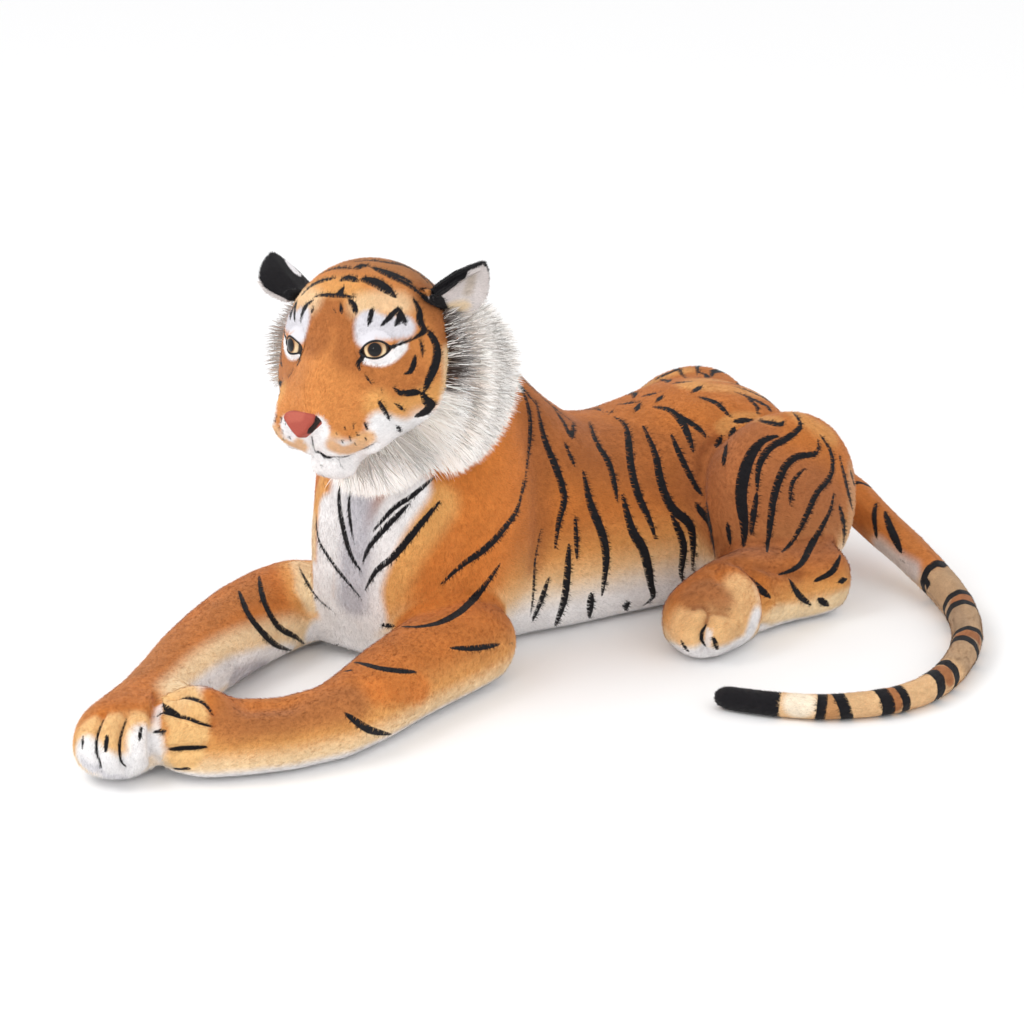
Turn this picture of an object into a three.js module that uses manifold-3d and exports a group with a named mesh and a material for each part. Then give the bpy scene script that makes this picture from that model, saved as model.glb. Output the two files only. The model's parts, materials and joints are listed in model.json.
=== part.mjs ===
// A large plush tiger, lying with its head up: plush covers over stuffing, sewn together.
// Millimetres, +Z up. The tiger looks towards -Y and its left side is +X.
// The trunk's mid-plane behind the shoulders is X = 0, and the origin is on the floor under the belly.
// The chest, neck, head and forelegs are turned towards the tiger's left.
import * as THREE from "three";
import { mergeVertices } from "three/addons/utils/BufferGeometryUtils.js";
import Module from "manifold-3d";

const wasm = await Module();
wasm.setup();

const degrees = THREE.MathUtils.degToRad;

// Driving dimensions.

// Space between neighbours, and depth cut flat where the toy lies.
const fit = { gap: 0.3, restDepth: 0.5 };

// Thickness of the plush, pile and backing together.
const plush = { trunkThickness: 8, limbThickness: 7, headThickness: 8, tailThickness: 5 };

// The trunk runs forward from the rump, bends to the left and ends in the chest.
const trunk = {
  rumpReach: 310,
  turnAhead: 231,
  bendRadius: 350,
  chestReach: 182,
  turn: degrees(28),
  halfWidth: 118,
  withersHeight: 366,
};

// Neck seat under the head: ahead of the trunk's turning point, and sunk below the withers' height.
const neck = { ahead: 88, sink: 66, radius: 84, openingRadius: 46 };

// Head, about a centre between the ears, ahead of the neck and above it.
const head = {
  ahead: 57,
  rise: 93,
  roll: degrees(-5.8),
  nod: degrees(-3),
  skullAcross: 107,
  skullAhead: 92,
  skullUp: 107,
  muzzleReach: 153,
  muzzleWidth: 60,
  padReach: 158,
  padWidth: 46,
  chinReach: 163,
  chinWidth: 42,
  bridgeReach: 122,
  bridgeWidth: 40,
  cheekReach: 124,
  cheekWidth: 58,
  turnRange: degrees(10),
  turnClearance: 4,
};

// Safety eyes: a glossy dome with a shank, held by a washer inside the head.
const eye = {
  radius: 15,
  domeHeight: 8,
  rimThickness: 1,
  shankRadius: 3,
  shankLength: 15,
  washerRadius: 13,
  washerThickness: 2.5,
  seatDepth: 3,
  splay: degrees(24),
  lift: degrees(6),
};

// Sewn nose pad, a rounded triangle.
const nose = { halfWidth: 22, halfHeight: 17, depth: 14, bevel: 4, proud: 6, pitch: degrees(14) };

// Ears: a dark back and a pale lining, cupped, sewn in on a straight root.
const ear = {
  height: 73,
  halfWidth: 37,
  backThickness: 8,
  liningThickness: 5,
  cup: 16,
  rootRadius: 6.5,
  rim: 3,
  foldRange: degrees(20),
};

// Long-pile ruff round the cheeks and under the chin, placed from the head's centre.
const ruff = {
  proud: 4,
  behind: 50,
  above: 50,
  below: 126,
  halfWidth: 36,
  halfThickness: 20,
  chinAhead: 22,
  chinBelow: 126,
  chinHalfWidth: 52,
  chinHalfDepth: 30,
  chinHalfHeight: 26,
  turnClearance: 5,
};

// Upper arms stand proud of the trunk's sides, and reach from near the floor to below the withers.
const shoulder = { proud: 16, ahead: 36, drop: 56, floorClearance: 6, halfWidth: 52, halfLength: 84 };

// Forelegs reach ahead from the elbow, which stands out from the upper arm.
const foreleg = { elbowProud: 38, reach: 540, halfWidth: 60 };

// Haunches rest on the floor beside the rump. The right one is tucked in, and lies further back.
const haunch = {
  proud: 84,
  fromRump: 20,
  halfWidth: 60,
  halfLength: 113,
  halfHeight: 124,
  rightTuck: 64,
  rightBack: 14,
};

// Hind feet lie beside the haunches and reach forward from the hock.
const foot = { length: 362, halfWidth: 51 };

// Tail: a stuffed tube that leaves the rump, passes behind the left haunch and curls forward.
const tail = {
  reach: 500,
  rootRise: 70,
  hipRadius: 36,
  rootRadius: 30,
  middleRadius: 19,
  endRadius: 14,
  tipLength: 80,
};

// Tables of shares.

// Trunk rows from rump to chest: share of the path, and of half width, top height and bottom height.
const trunkSectionShares = [
  [0, 0.56, 0.46, 0.16],
  [0.05, 0.76, 0.575, 0.07],
  [0.13, 0.93, 0.655, 0],
  [0.24, 1.0, 0.695, 0],
  [0.35, 1.0, 0.658, 0],
  [0.44, 0.965, 0.64, 0],
  [0.5, 0.955, 0.67, 0],
  [0.56, 0.96, 0.755, 0],
  [0.62, 0.93, 0.895, 0],
  [0.68, 0.88, 0.985, 0],
  [0.76, 0.84, 1.0, 0],
  [0.84, 0.84, 0.93, 0],
  [0.92, 0.84, 0.83, 0],
  [1, 0.8, 0.68, 0.08],
];
const trunkCapShares = [0.12, 0.07];

// Directions from the head's centre, as shares across (to the left), ahead and up.
const eyeShares = [0.57, 0.79, 0.2];
const noseShares = [0, 0.937, -0.35];
const earShares = [0.81, -0.02, 0.57];
const earGrowthShares = [0.75, -0.32, 0.58];
const earOpeningShares = [0.58, 0.42, -0.67];
const muzzleShares = [0, 0.85, -0.53];
const bridgeShares = [0, 0.98, -0.17];
const chinShares = [0, 0.66, -0.75];
const padShares = [0.4, 0.74, -0.55];
const cheekShares = [0.84, 0.24, -0.48];

// Ear rows from root to tip: share of the height, of half width, of thickness and of cup.
const earShapeShares = [
  [0, 0.78, 1, 0.3],
  [0.25, 0.95, 1, 0.8],
  [0.5, 1, 0.9, 1],
  [0.75, 0.84, 0.75, 0.8],
  [1, 0.5, 0.5, 0.4],
];

// Ruff rows from top to bottom: share of the drop, of the reach across and behind, width and thickness.
const ruffShapeShares = [
  [0, 0.8, 1.04, 0.72, 0.7],
  [0.3, 1, 1.1, 1, 1],
  [0.62, 1, 1.04, 1, 1],
  [0.85, 0.84, 0.72, 0.85, 0.95],
  [1, 0.56, 0.28, 0.7, 0.8],
];

// Foreleg places: share of the elbow's distance across and of the reach ahead.
const leftForelegShares = [
  [1, 0.115],
  [0.82, 0.43],
  [0.7, 0.72],
  [0.02, 0.88],
  [-0.5, 0.94],
];
const rightForelegShares = [
  [-0.97, 0.096],
  [-1.22, 0.333],
  [-1.15, 0.611],
  [-0.86, 0.87],
  [-0.6, 1.09],
];
// Foreleg rows from elbow to toes: share of the length, of the half width across and of it in height.
const forelegSizeShares = [
  [0, 0.92, 0.8],
  [0.2, 1, 0.82],
  [0.45, 0.86, 0.72],
  [0.66, 0.72, 0.64],
  [0.8, 0.8, 0.66],
  [0.92, 0.86, 0.68],
  [1, 0.76, 0.58],
];

// Hind foot places: share of the half width out from the haunch, and of the length ahead of the rump.
const footPlaceShares = [
  [0.24, 0.215],
  [0.04, 0.425],
  [0.12, 0.615],
  [0.64, 0.83],
  [0.8, 1],
];
const footSizeShares = [
  [0, 0.8, 0.92],
  [0.25, 0.76, 0.9],
  [0.5, 0.84, 1.04],
  [0.76, 1, 1],
  [1, 0.9, 0.78],
];

// Tail places from root to tip: share of the reach across and behind the rump, and of the root's rise.
const tailPlaceShares = [
  [0.03, -0.035, 1],
  [0.06, 0.042, 0.99],
  [0.15, 0.068, 0.85],
  [0.274, 0.062, 0.6],
  [0.378, 0.07, 0.37],
  [0.48, 0.066, 0.17],
  [0.59, 0.044, 0.04],
  [0.7, -0.005, 0],
  [0.83, -0.104, 0],
  [0.93, -0.23, 0],
  [0.99, -0.354, 0],
  [1.0, -0.46, 0],
  [0.975, -0.552, 0],
  [0.935, -0.632, 0],
  [0.87, -0.704, 0],
  [0.81, -0.754, 0],
  [0.75, -0.796, 0],
];

// Materials of the pieces.
const finishes = {
  coat: { color: 0xc8763a, roughness: 0.95 },
  paleCoat: { color: 0xe9dccb, roughness: 0.95 },
  blackCoat: { color: 0x17141a, roughness: 0.95 },
  longPile: { color: 0xd9cfc6, roughness: 0.98 },
  stuffing: { color: 0xf3f1ec, roughness: 1 },
  eye: { color: 0xd9b26a, roughness: 0.08 },
  washer: { color: 0xf5f5f5, roughness: 0.4 },
  nose: { color: 0xc9695a, roughness: 0.8 },
};

// Solids.

const tigerToy = new THREE.Group();

function solidFrom(geometry) {
  const bare = geometry.index ? geometry.toNonIndexed() : geometry.clone();
  const points = new THREE.BufferGeometry().setAttribute("position", bare.getAttribute("position"));
  const merged = mergeVertices(points);
  const corners = Array.from(merged.index.array);
  const kept = [];
  for (let i = 0; i < corners.length; i += 3) {
    const [a, b, c] = corners.slice(i, i + 3);
    if (a !== b && b !== c && c !== a) kept.push(a, b, c);
  }
  const vertProperties = merged.attributes.position.array;
  const triVerts = new Uint32Array(kept);
  return new wasm.Manifold(new wasm.Mesh({ numProp: 3, vertProperties, triVerts }));
}

function geometryFrom(solid) {
  const mesh = solid.getMesh();
  const geometry = new THREE.BufferGeometry();
  geometry.setAttribute("position", new THREE.BufferAttribute(mesh.vertProperties, 3));
  geometry.setIndex(new THREE.BufferAttribute(mesh.triVerts, 1));
  const flat = geometry.toNonIndexed();
  flat.computeVertexNormals();
  return flat;
}

function addPiece(name, finish, solid) {
  const material = new THREE.MeshStandardMaterial({ metalness: 0, ...finishes[finish] });
  const mesh = new THREE.Mesh(geometryFrom(solid), material);
  mesh.name = name;
  tigerToy.add(mesh);
}

const cut = (solid, ...tools) => tools.reduce((left, tool) => left.subtract(tool), solid);
const join = (solid, ...others) => others.reduce((whole, other) => whole.add(other), solid);

// Everything above the floor, far wider than the toy.
const wide = 8 * trunk.rumpReach;
const overFloor = solidFrom(new THREE.BoxGeometry(wide, wide, wide).translate(0, 0, wide / 2));
const floored = (solid) => solid.intersect(overFloor);

// Hermite interpolation down the columns of a table whose first column rises from 0 to 1.
function between(table, share) {
  const last = table.length - 1;
  let i = 0;
  while (i < last - 1 && table[i + 1][0] < share) i += 1;
  const slope = (row, column) => {
    const before = table[Math.max(row - 1, 0)];
    const after = table[Math.min(row + 1, last)];
    return (after[column] - before[column]) / (after[0] - before[0]);
  };
  const span = table[i + 1][0] - table[i][0];
  const t = (share - table[i][0]) / span;
  const [t2, t3] = [t * t, t * t * t];
  return table[i].slice(1).map((value, index) => {
    const column = index + 1;
    const next = table[i + 1][column];
    const swing = (t3 - 2 * t2 + t) * slope(i, column) + (t3 - t2) * slope(i + 1, column);
    return (2 * t3 - 3 * t2 + 1) * value + (3 * t2 - 2 * t3) * next + span * swing;
  });
}

// Closed skin over rings of points, each ring with as many points, closed by a point at both ends.
function skinOver(start, rings, end) {
  const sides = rings[0].length;
  const positions = [start, ...rings.flat(), end].flatMap((p) => p.toArray());
  const index = [];
  const at = (ring, side) => 1 + ring * sides + (side % sides);
  const lastRing = rings.length - 1;
  for (let side = 0; side < sides; side += 1) {
    index.push(0, at(0, side + 1), at(0, side));
    for (let ring = 0; ring < lastRing; ring += 1) {
      const [a, b] = [at(ring, side), at(ring, side + 1)];
      const [c, d] = [at(ring + 1, side), at(ring + 1, side + 1)];
      index.push(a, b, d, a, d, c);
    }
    index.push(at(lastRing, side), at(lastRing, side + 1), positions.length / 3 - 1);
  }
  const geometry = new THREE.BufferGeometry();
  geometry.setAttribute("position", new THREE.Float32BufferAttribute(positions, 3));
  geometry.setIndex(index);
  return geometry;
}

// A stuffed form along a path. path(share) gives {at, side, up, ahead}, and size(share) gives half
// width and half height. The ends are rounded over capShares of the length, or flat where that is 0,
// and grow swells the form all over. Fullness squares the section above and below its middle, and
// bow bends it.
const ellipse = [2, 2];
const noBow = () => 0;
function stuffedForm(shape) {
  const { path, size, capShares, steps, sides, fullness = ellipse, grow = 0, bow = noBow } = shape;
  const [startCap, endCap] = capShares;
  const ring = (share) => {
    const { at, side, up, ahead } = path(share);
    const [halfWidth, halfHeight] = size(share);
    const fromEnd = Math.min(startCap ? share / startCap : 1, endCap ? (1 - share) / endCap : 1, 1);
    const round = Math.sqrt(Math.max(1 - (1 - fromEnd) ** 2, 0));
    const push = (share < 1 / 2 ? -1 : 1) * (1 - fromEnd) * grow;
    const centre = at.clone().addScaledVector(ahead, push);
    const points = [];
    for (let i = 0; i < sides; i += 1) {
      const angle = (2 * Math.PI * i) / sides;
      const [c, s] = [Math.cos(angle), Math.sin(angle)];
      const power = 2 / fullness[s < 0 ? 1 : 0];
      const x = Math.sign(c) * Math.abs(c) ** power;
      const z = Math.sign(s) * Math.abs(s) ** power;
      const point = centre.clone().addScaledVector(side, x * (halfWidth + grow) * round);
      points.push(point.addScaledVector(up, z * (halfHeight + grow) * round + bow(share) * x * x));
    }
    return { centre, points };
  };
  const rings = [];
  for (let i = startCap ? 1 : 0; i <= (endCap ? steps - 1 : steps); i += 1) {
    rings.push(ring((1 - Math.cos((Math.PI * i) / steps)) / 2).points);
  }
  return solidFrom(skinOver(ring(0).centre, rings, ring(1).centre));
}

// The frame of a curve at one share of its length, level across.
function levelFrame(curve, share) {
  const ahead = curve.getTangentAt(share);
  const side = new THREE.Vector3(-ahead.y, ahead.x, 0).normalize();
  return { at: curve.getPointAt(share), ahead, side, up: ahead.clone().cross(side) };
}

// A ball whose points are moved by a function.
function shapedBall(detail, shape, place) {
  const ball = new THREE.IcosahedronGeometry(1, detail);
  const position = ball.getAttribute("position");
  const point = new THREE.Vector3();
  for (let i = 0; i < position.count; i += 1) {
    shape(point.fromBufferAttribute(position, i).normalize());
    position.setXYZ(i, point.x, point.y, point.z);
  }
  return solidFrom(ball.applyMatrix4(place));
}

// A rounded mass: a ball drawn out to three half sizes, and squared by its fullness.
const massFullness = 2.15;
function roundedMass(halfSizes, place, detail, grow = 0) {
  const drawn = new THREE.Vector3(...halfSizes.map((half) => half + grow));
  const shape = (point) => {
    const sum = point.toArray().reduce((total, value) => total + Math.abs(value) ** massFullness, 0);
    point.multiplyScalar(sum ** (-1 / massFullness)).multiply(drawn);
  };
  return shapedBall(detail, shape, place);
}

// A round radius, or that of the seat round it, whose flats are clear of it at any angle.
const seatRadius = (radius, clearance, sides) =>
  clearance ? (radius + clearance) / Math.cos(Math.PI / sides) : radius;

// A ball that swivels about the upright, or the seat round it.
const [swivelSides, swivelRows] = [28, 6];
function swivelBall(radius, place, clearance) {
  const outer = seatRadius(radius, clearance, swivelSides);
  const profile = [];
  for (let i = 0; i <= swivelRows; i += 1) {
    const angle = (Math.PI * i) / swivelRows - Math.PI / 2;
    const across = i % swivelRows ? outer * Math.cos(angle) : 0;
    profile.push(new THREE.Vector2(across, outer * Math.sin(angle)));
  }
  const ball = new THREE.LatheGeometry(profile, swivelSides);
  return solidFrom(ball.rotateX(Math.PI / 2).applyMatrix4(place));
}

// Places.

const upright = new THREE.Vector3(0, 0, 1);
const sides = [
  ["left", 1],
  ["right", -1],
];

// Frame of the turned front part: X to the tiger's left, -Y ahead, below the trunk's turning point.
const frontFrame = new THREE.Matrix4().makeRotationZ(trunk.turn).setPosition(0, -trunk.turnAhead, 0);
const inFront = (across, ahead, up) => new THREE.Vector3(across, -ahead, up).applyMatrix4(frontFrame);
function frontPlace(across, ahead, up) {
  return frontFrame.clone().multiply(new THREE.Matrix4().makeTranslation(across, -ahead, up));
}
const aimed = ([across, ahead, up], side = 1) =>
  new THREE.Vector3(side * across, -ahead, up).normalize();

const neckHeight = trunk.withersHeight - neck.sink;
const neckPlace = frontPlace(0, neck.ahead, neckHeight);
const neckBall = swivelBall(neck.radius, neckPlace, 0);
const neckSeat = swivelBall(neck.radius, neckPlace, fit.gap);

// Frame of the head: its centre, turned with the front and tilted.
const headFrame = frontPlace(0, neck.ahead + head.ahead, neckHeight + head.rise)
  .multiply(new THREE.Matrix4().makeRotationY(head.roll))
  .multiply(new THREE.Matrix4().makeRotationX(head.nod));

// Trunk.

const bendTangent = trunk.bendRadius * Math.tan(trunk.turn / 2);
const rearLength = trunk.rumpReach + trunk.turnAhead - bendTangent;
const bendLength = trunk.bendRadius * trunk.turn;
const trunkLength = rearLength + bendLength + trunk.chestReach - bendTangent;
const trunkFullness = [2.2, 8];

function trunkPath(share) {
  const run = share * trunkLength;
  const angle = THREE.MathUtils.clamp((run - rearLength) / trunk.bendRadius, 0, trunk.turn);
  const ahead = new THREE.Vector3(Math.sin(angle), -Math.cos(angle), 0);
  const side = new THREE.Vector3(Math.cos(angle), Math.sin(angle), 0);
  const at = new THREE.Vector3(0, trunk.rumpReach - Math.min(run, rearLength), 0);
  at.x += trunk.bendRadius * (1 - Math.cos(angle));
  at.y -= trunk.bendRadius * Math.sin(angle);
  at.addScaledVector(ahead, Math.max(run - rearLength - bendLength, 0));
  const [, topShare, bottomShare] = between(trunkSectionShares, share);
  at.z = (trunk.withersHeight * (topShare + bottomShare) - fit.restDepth) / 2;
  return { at, ahead, side, up: upright };
}

function trunkSize(share) {
  const [widthShare, topShare, bottomShare] = between(trunkSectionShares, share);
  const halfHeight = (trunk.withersHeight * (topShare - bottomShare) + fit.restDepth) / 2;
  return [trunk.halfWidth * widthShare, halfHeight];
}

function trunkForm(grow, steps, around) {
  const shape = { path: trunkPath, size: trunkSize, capShares: trunkCapShares, fullness: trunkFullness };
  return stuffedForm({ ...shape, steps, sides: around, grow });
}

// Head.

// Lobes that swell out of the skull: where they point, how far they reach and their half width.
const lobe = (shares, reach, width, side) => ({ toward: aimed(shares, side), reach, width });
const headLobes = [
  lobe(muzzleShares, head.muzzleReach, head.muzzleWidth),
  lobe(bridgeShares, head.bridgeReach, head.bridgeWidth),
  lobe(chinShares, head.chinReach, head.chinWidth),
  ...sides.map(([, side]) => lobe(padShares, head.padReach, head.padWidth, side)),
  ...sides.map(([, side]) => lobe(cheekShares, head.cheekReach, head.cheekWidth, side)),
];
const lobeBackShare = 0.3;
const melting = 14;
const skull = new THREE.Vector3(head.skullAcross, head.skullAhead, head.skullUp);

// Distance from the head's centre to its surface in one direction: the lobes melted together.
function headReach(direction) {
  const reaches = [1 / direction.clone().divide(skull).length()];
  for (const { toward, reach, width } of headLobes) {
    const along = direction.dot(toward);
    const half = (reach * (1 + lobeBackShare)) / 2;
    const middle = reach - half;
    const a = (along / half) ** 2 + (1 - along * along) / (width * width);
    const b = (along * middle) / (half * half);
    const c = (middle / half) ** 2 - 1;
    reaches.push((b + Math.sqrt(b * b - a * c)) / a);
  }
  const largest = Math.max(...reaches);
  const sum = reaches.reduce((total, reach) => total + (reach / largest) ** melting, 0);
  return largest * sum ** (1 / melting);
}

const headForm = (grow, detail) =>
  shapedBall(detail, (point) => point.multiplyScalar(headReach(point) + grow), headFrame);
const onHead = (direction, proud) => direction.clone().multiplyScalar(headReach(direction) + proud);

// Opening where the head is sewn to the neck, and the stuffing passes.
function neckOpening(radius) {
  const plug = new THREE.CylinderGeometry(radius, radius, neckHeight, swivelSides).rotateX(Math.PI / 2);
  return solidFrom(plug.translate(0, 0, -neckHeight / 2).applyMatrix4(neckPlace));
}

function headInside(inset) {
  return join(headForm(-inset, 2), swivelBall(neck.radius - inset, neckPlace, 0));
}

// A solid turned about the X or Z axis of a frame, as what moves about that axis meets it.
function turned(solid, frame, axis, angle) {
  const turn = new THREE.Matrix4().makeRotationAxis(axis, angle);
  const place = frame.clone().multiply(turn).multiply(frame.clone().invert());
  return solidFrom(geometryFrom(solid).applyMatrix4(place));
}

// Eyes.

const eyeSides = 12;
function turnedPiece(profile, place) {
  const points = profile.map(([radius, height]) => new THREE.Vector2(radius, height));
  return solidFrom(new THREE.LatheGeometry(points, eyeSides).rotateX(Math.PI / 2).applyMatrix4(place));
}

// Place of an eye on the head's surface: its own Z points out of the head.
function eyePlace(side) {
  const out = new THREE.Vector3(side * Math.sin(eye.splay), -Math.cos(eye.splay), Math.sin(eye.lift));
  const facing = new THREE.Matrix4().lookAt(out, new THREE.Vector3(), upright);
  return headFrame.clone().multiply(facing.setPosition(onHead(aimed(eyeShares, side), 0)));
}

// Half profile of an eye from the end of its shank to the top of its dome.
const domeSteps = 3;
function eyeProfile(grow) {
  const stem = eye.shankRadius + grow;
  const rim = eye.radius + grow;
  const foot = -eye.shankLength - grow;
  const back = -eye.seatDepth - eye.rimThickness - grow;
  const profile = [[0, foot], [stem, foot], [stem, back], [rim, back]];
  for (let i = domeSteps; i > 0; i -= 1) {
    const angle = (i / domeSteps) * (Math.PI / 2);
    profile.push([Math.sin(angle) * rim, Math.cos(angle) * (eye.domeHeight + grow) - eye.seatDepth]);
  }
  return [...profile, [0, eye.domeHeight + grow - eye.seatDepth]];
}

const washerTop = -plush.headThickness - eye.seatDepth - fit.gap;
function washerProfile(grow) {
  const outer = eye.washerRadius + grow;
  const inner = eye.shankRadius + fit.gap - grow;
  const top = washerTop + grow;
  const bottom = washerTop - eye.washerThickness - grow;
  return [[inner, bottom], [outer, bottom], [outer, top], [inner, top], [inner, bottom]];
}

// Nose pad: a bevelled triangle with round corners, facing ahead.
function noseForm() {
  const shape = new THREE.Shape();
  const [x, y] = [nose.halfWidth - nose.bevel, nose.halfHeight - nose.bevel];
  shape.moveTo(0, -y);
  shape.quadraticCurveTo(x / 2, -y / 2, x, y / 2);
  shape.quadraticCurveTo(x, y, x / 2, y);
  shape.lineTo(-x / 2, y);
  shape.quadraticCurveTo(-x, y, -x, y / 2);
  shape.quadraticCurveTo(-x / 2, -y / 2, 0, -y);
  const edge = { bevelSize: nose.bevel, bevelThickness: nose.bevel, bevelSegments: 2, curveSegments: 5 };
  const pad = new THREE.ExtrudeGeometry(shape, { depth: nose.depth, ...edge });
  pad.translate(0, 0, -nose.depth - nose.bevel).rotateX(Math.PI / 2 - nose.pitch);
  return solidFrom(pad.translate(...onHead(aimed(noseShares), nose.proud)).applyMatrix4(headFrame));
}

// Ears.

// Frame of an ear at its root: its X runs along the root, Y points out of the cup and Z up the ear.
const alongRoot = new THREE.Vector3(1, 0, 0);
function earPlace(side) {
  const growth = aimed(earGrowthShares, side);
  const along = aimed(earOpeningShares, side).cross(growth).normalize();
  const basis = new THREE.Matrix4().makeBasis(along, growth.clone().cross(along), growth);
  return headFrame.clone().multiply(basis.setPosition(onHead(aimed(earShares, side), 0)));
}

function earLayer(side, offset, thickness, rim, grow = 0) {
  const place = earPlace(side);
  const [x, y, z] = [0, 1, 2].map((column) => new THREE.Vector3().setFromMatrixColumn(place, column));
  const start = new THREE.Vector3().setFromMatrixPosition(place).addScaledVector(y, offset);
  const path = (share) => {
    const at = start.clone().addScaledVector(z, share * (ear.height - rim));
    return { at, ahead: z, side: x, up: y };
  };
  const size = (share) => {
    const [widthShare, thickShare] = between(earShapeShares, share);
    return [(ear.halfWidth - rim) * widthShare, (thickness * thickShare) / 2];
  };
  const bow = (share) => ear.cup * between(earShapeShares, share)[2];
  return stuffedForm({ path, size, capShares: [0, 0.5], steps: 7, sides: 10, bow, grow });
}

// Round root that turns in a groove along the head.
const rootSides = 12;
function earRoot(side, clearance) {
  const length = 2 * (ear.halfWidth * earShapeShares[0][1] + clearance);
  const radius = seatRadius(ear.rootRadius, clearance, rootSides);
  const bar = new THREE.CylinderGeometry(radius, radius, length, rootSides);
  return solidFrom(bar.rotateZ(Math.PI / 2).applyMatrix4(earPlace(side)));
}

// Ruff.

function ruffSide(side) {
  const outward = new THREE.Vector3(side, 0, 0).transformDirection(headFrame);
  const places = ruffShapeShares.map(([drop, across, behind]) => {
    const up = THREE.MathUtils.lerp(ruff.above, -ruff.below, drop);
    const out = side * (head.skullAcross + ruff.proud) * across;
    return new THREE.Vector3(out, ruff.behind * behind, up).applyMatrix4(headFrame);
  });
  const curve = new THREE.CatmullRomCurve3(places, false, "centripetal");
  const path = (share) => {
    const ahead = curve.getTangentAt(share);
    const up = outward.clone().addScaledVector(ahead, -outward.dot(ahead)).normalize();
    return { at: curve.getPointAt(share), ahead, up, side: up.clone().cross(ahead) };
  };
  const size = (share) => {
    const [, , widthShare, thickShare] = between(ruffShapeShares, share);
    return [ruff.halfWidth * widthShare, ruff.halfThickness * thickShare];
  };
  return stuffedForm({ path, size, capShares: [0.18, 0.16], steps: 12, sides: 12 });
}

function ruffChin() {
  const place = new THREE.Matrix4().makeTranslation(0, -ruff.chinAhead, -ruff.chinBelow);
  const halfSizes = [ruff.chinHalfWidth, ruff.chinHalfDepth, ruff.chinHalfHeight];
  return roundedMass(halfSizes, headFrame.clone().multiply(place), 3);
}

// Limbs.

// A limb lying on the floor: its path's height follows from its section.
const limbFullness = [2.1, 2.6];
function limbForm(places, sizeShares, fullWidth, grow, steps, around) {
  const curve = new THREE.CatmullRomCurve3(places, false, "centripetal");
  const size = (share) => between(sizeShares, share).map((value) => value * fullWidth);
  const path = (share) => {
    const frame = levelFrame(curve, share);
    frame.at.z = size(share)[1] - fit.restDepth;
    return frame;
  };
  const shape = { path, size, capShares: [0.12, 0.1], fullness: limbFullness };
  return stuffedForm({ ...shape, steps, sides: around, grow });
}

const shoulderAcross = trunk.halfWidth + shoulder.proud - shoulder.halfWidth;
const shoulderTop = trunk.withersHeight - shoulder.drop;
const elbowAcross = shoulderAcross + foreleg.elbowProud;
function shoulderForm(side, grow, detail) {
  const halfHeight = (shoulderTop - shoulder.floorClearance) / 2;
  const halfSizes = [shoulder.halfWidth, shoulder.halfLength, halfHeight];
  const place = frontPlace(side * shoulderAcross, shoulder.ahead, shoulderTop - halfHeight);
  return roundedMass(halfSizes, place, detail, grow);
}

function forelegForm(side, grow, steps, around) {
  const placeShares = side > 0 ? leftForelegShares : rightForelegShares;
  const places = placeShares.map(([across, ahead]) =>
    inFront(elbowAcross * across, foreleg.reach * ahead, 0),
  );
  return limbForm(places, forelegSizeShares, foreleg.halfWidth, grow, steps, around);
}

// How far out a haunch stands, and how far back it ends.
function haunchReach(side) {
  const [outer, back] = [trunk.halfWidth + haunch.proud, trunk.rumpReach];
  return side > 0 ? [outer, back] : [outer - haunch.rightTuck, back + haunch.rightBack];
}

function haunchForm(side, grow, detail) {
  const [outer, back] = haunchReach(side);
  const behind = back - haunch.fromRump - haunch.halfLength;
  const place = new THREE.Matrix4();
  place.setPosition(side * (outer - haunch.halfWidth), behind, haunch.halfHeight - fit.restDepth);
  return roundedMass([haunch.halfWidth, haunch.halfLength, haunch.halfHeight], place, detail, grow);
}

function footForm(side, grow, steps, around) {
  const [outer, back] = haunchReach(side);
  const places = footPlaceShares.map(([across, ahead]) =>
    new THREE.Vector3(side * (outer + foot.halfWidth * across), back - foot.length * ahead, 0),
  );
  return limbForm(places, footSizeShares, foot.halfWidth, grow, steps, around);
}

// Tail.

const tailRadii = [
  [0, tail.rootRadius],
  [0.25, (tail.rootRadius + tail.middleRadius) / 2],
  [0.5, tail.middleRadius],
  [1, tail.endRadius],
];
const tailPoints = tailPlaceShares.map(([across, behind, rise]) =>
  new THREE.Vector3(tail.reach * across, trunk.rumpReach + tail.reach * behind, tail.rootRise * rise),
);
const tailCurve = new THREE.CatmullRomCurve3(tailPoints, false, "centripetal");
const tailLength = tailCurve.getLength();

// The tail's path rises from the floor by its own radius.
function tailFrame(share) {
  const frame = levelFrame(tailCurve, share);
  frame.at.z += between(tailRadii, share)[0] - fit.restDepth;
  return frame;
}

function tailForm(from, to, grow, steps, around, capShares) {
  const along = (share) => THREE.MathUtils.lerp(from, to, share);
  const path = (share) => tailFrame(along(share));
  const size = (share) => {
    const [radius] = between(tailRadii, along(share));
    return [radius, radius];
  };
  return stuffedForm({ path, size, capShares, steps, sides: around, grow });
}

// The tail's root is a round seat in the rump, about which it can swing.
const tailPlace = new THREE.Matrix4().setPosition(tailFrame(0).at);
const tailBall = swivelBall(tail.hipRadius, tailPlace, 0);
const tailSeat = swivelBall(tail.hipRadius, tailPlace, fit.gap);

// Trunk pieces.

const aroundTurningHead = headForm(head.turnClearance, 3);
const trunkCuts = [neckSeat, tailSeat, aroundTurningHead];
const aroundTrunk = trunkForm(fit.gap, 20, 16);
const trunkShell = cut(trunkForm(0, 20, 16), trunkForm(-plush.trunkThickness, 10, 8));
addPiece("trunk_cover", "coat", floored(cut(trunkShell, ...trunkCuts)));
addPiece("trunk_stuffing", "stuffing", cut(trunkForm(-plush.trunkThickness - fit.gap, 10, 8), ...trunkCuts));

// Limb pieces. The right foreleg gives way where the left paw lies against it.

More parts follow.
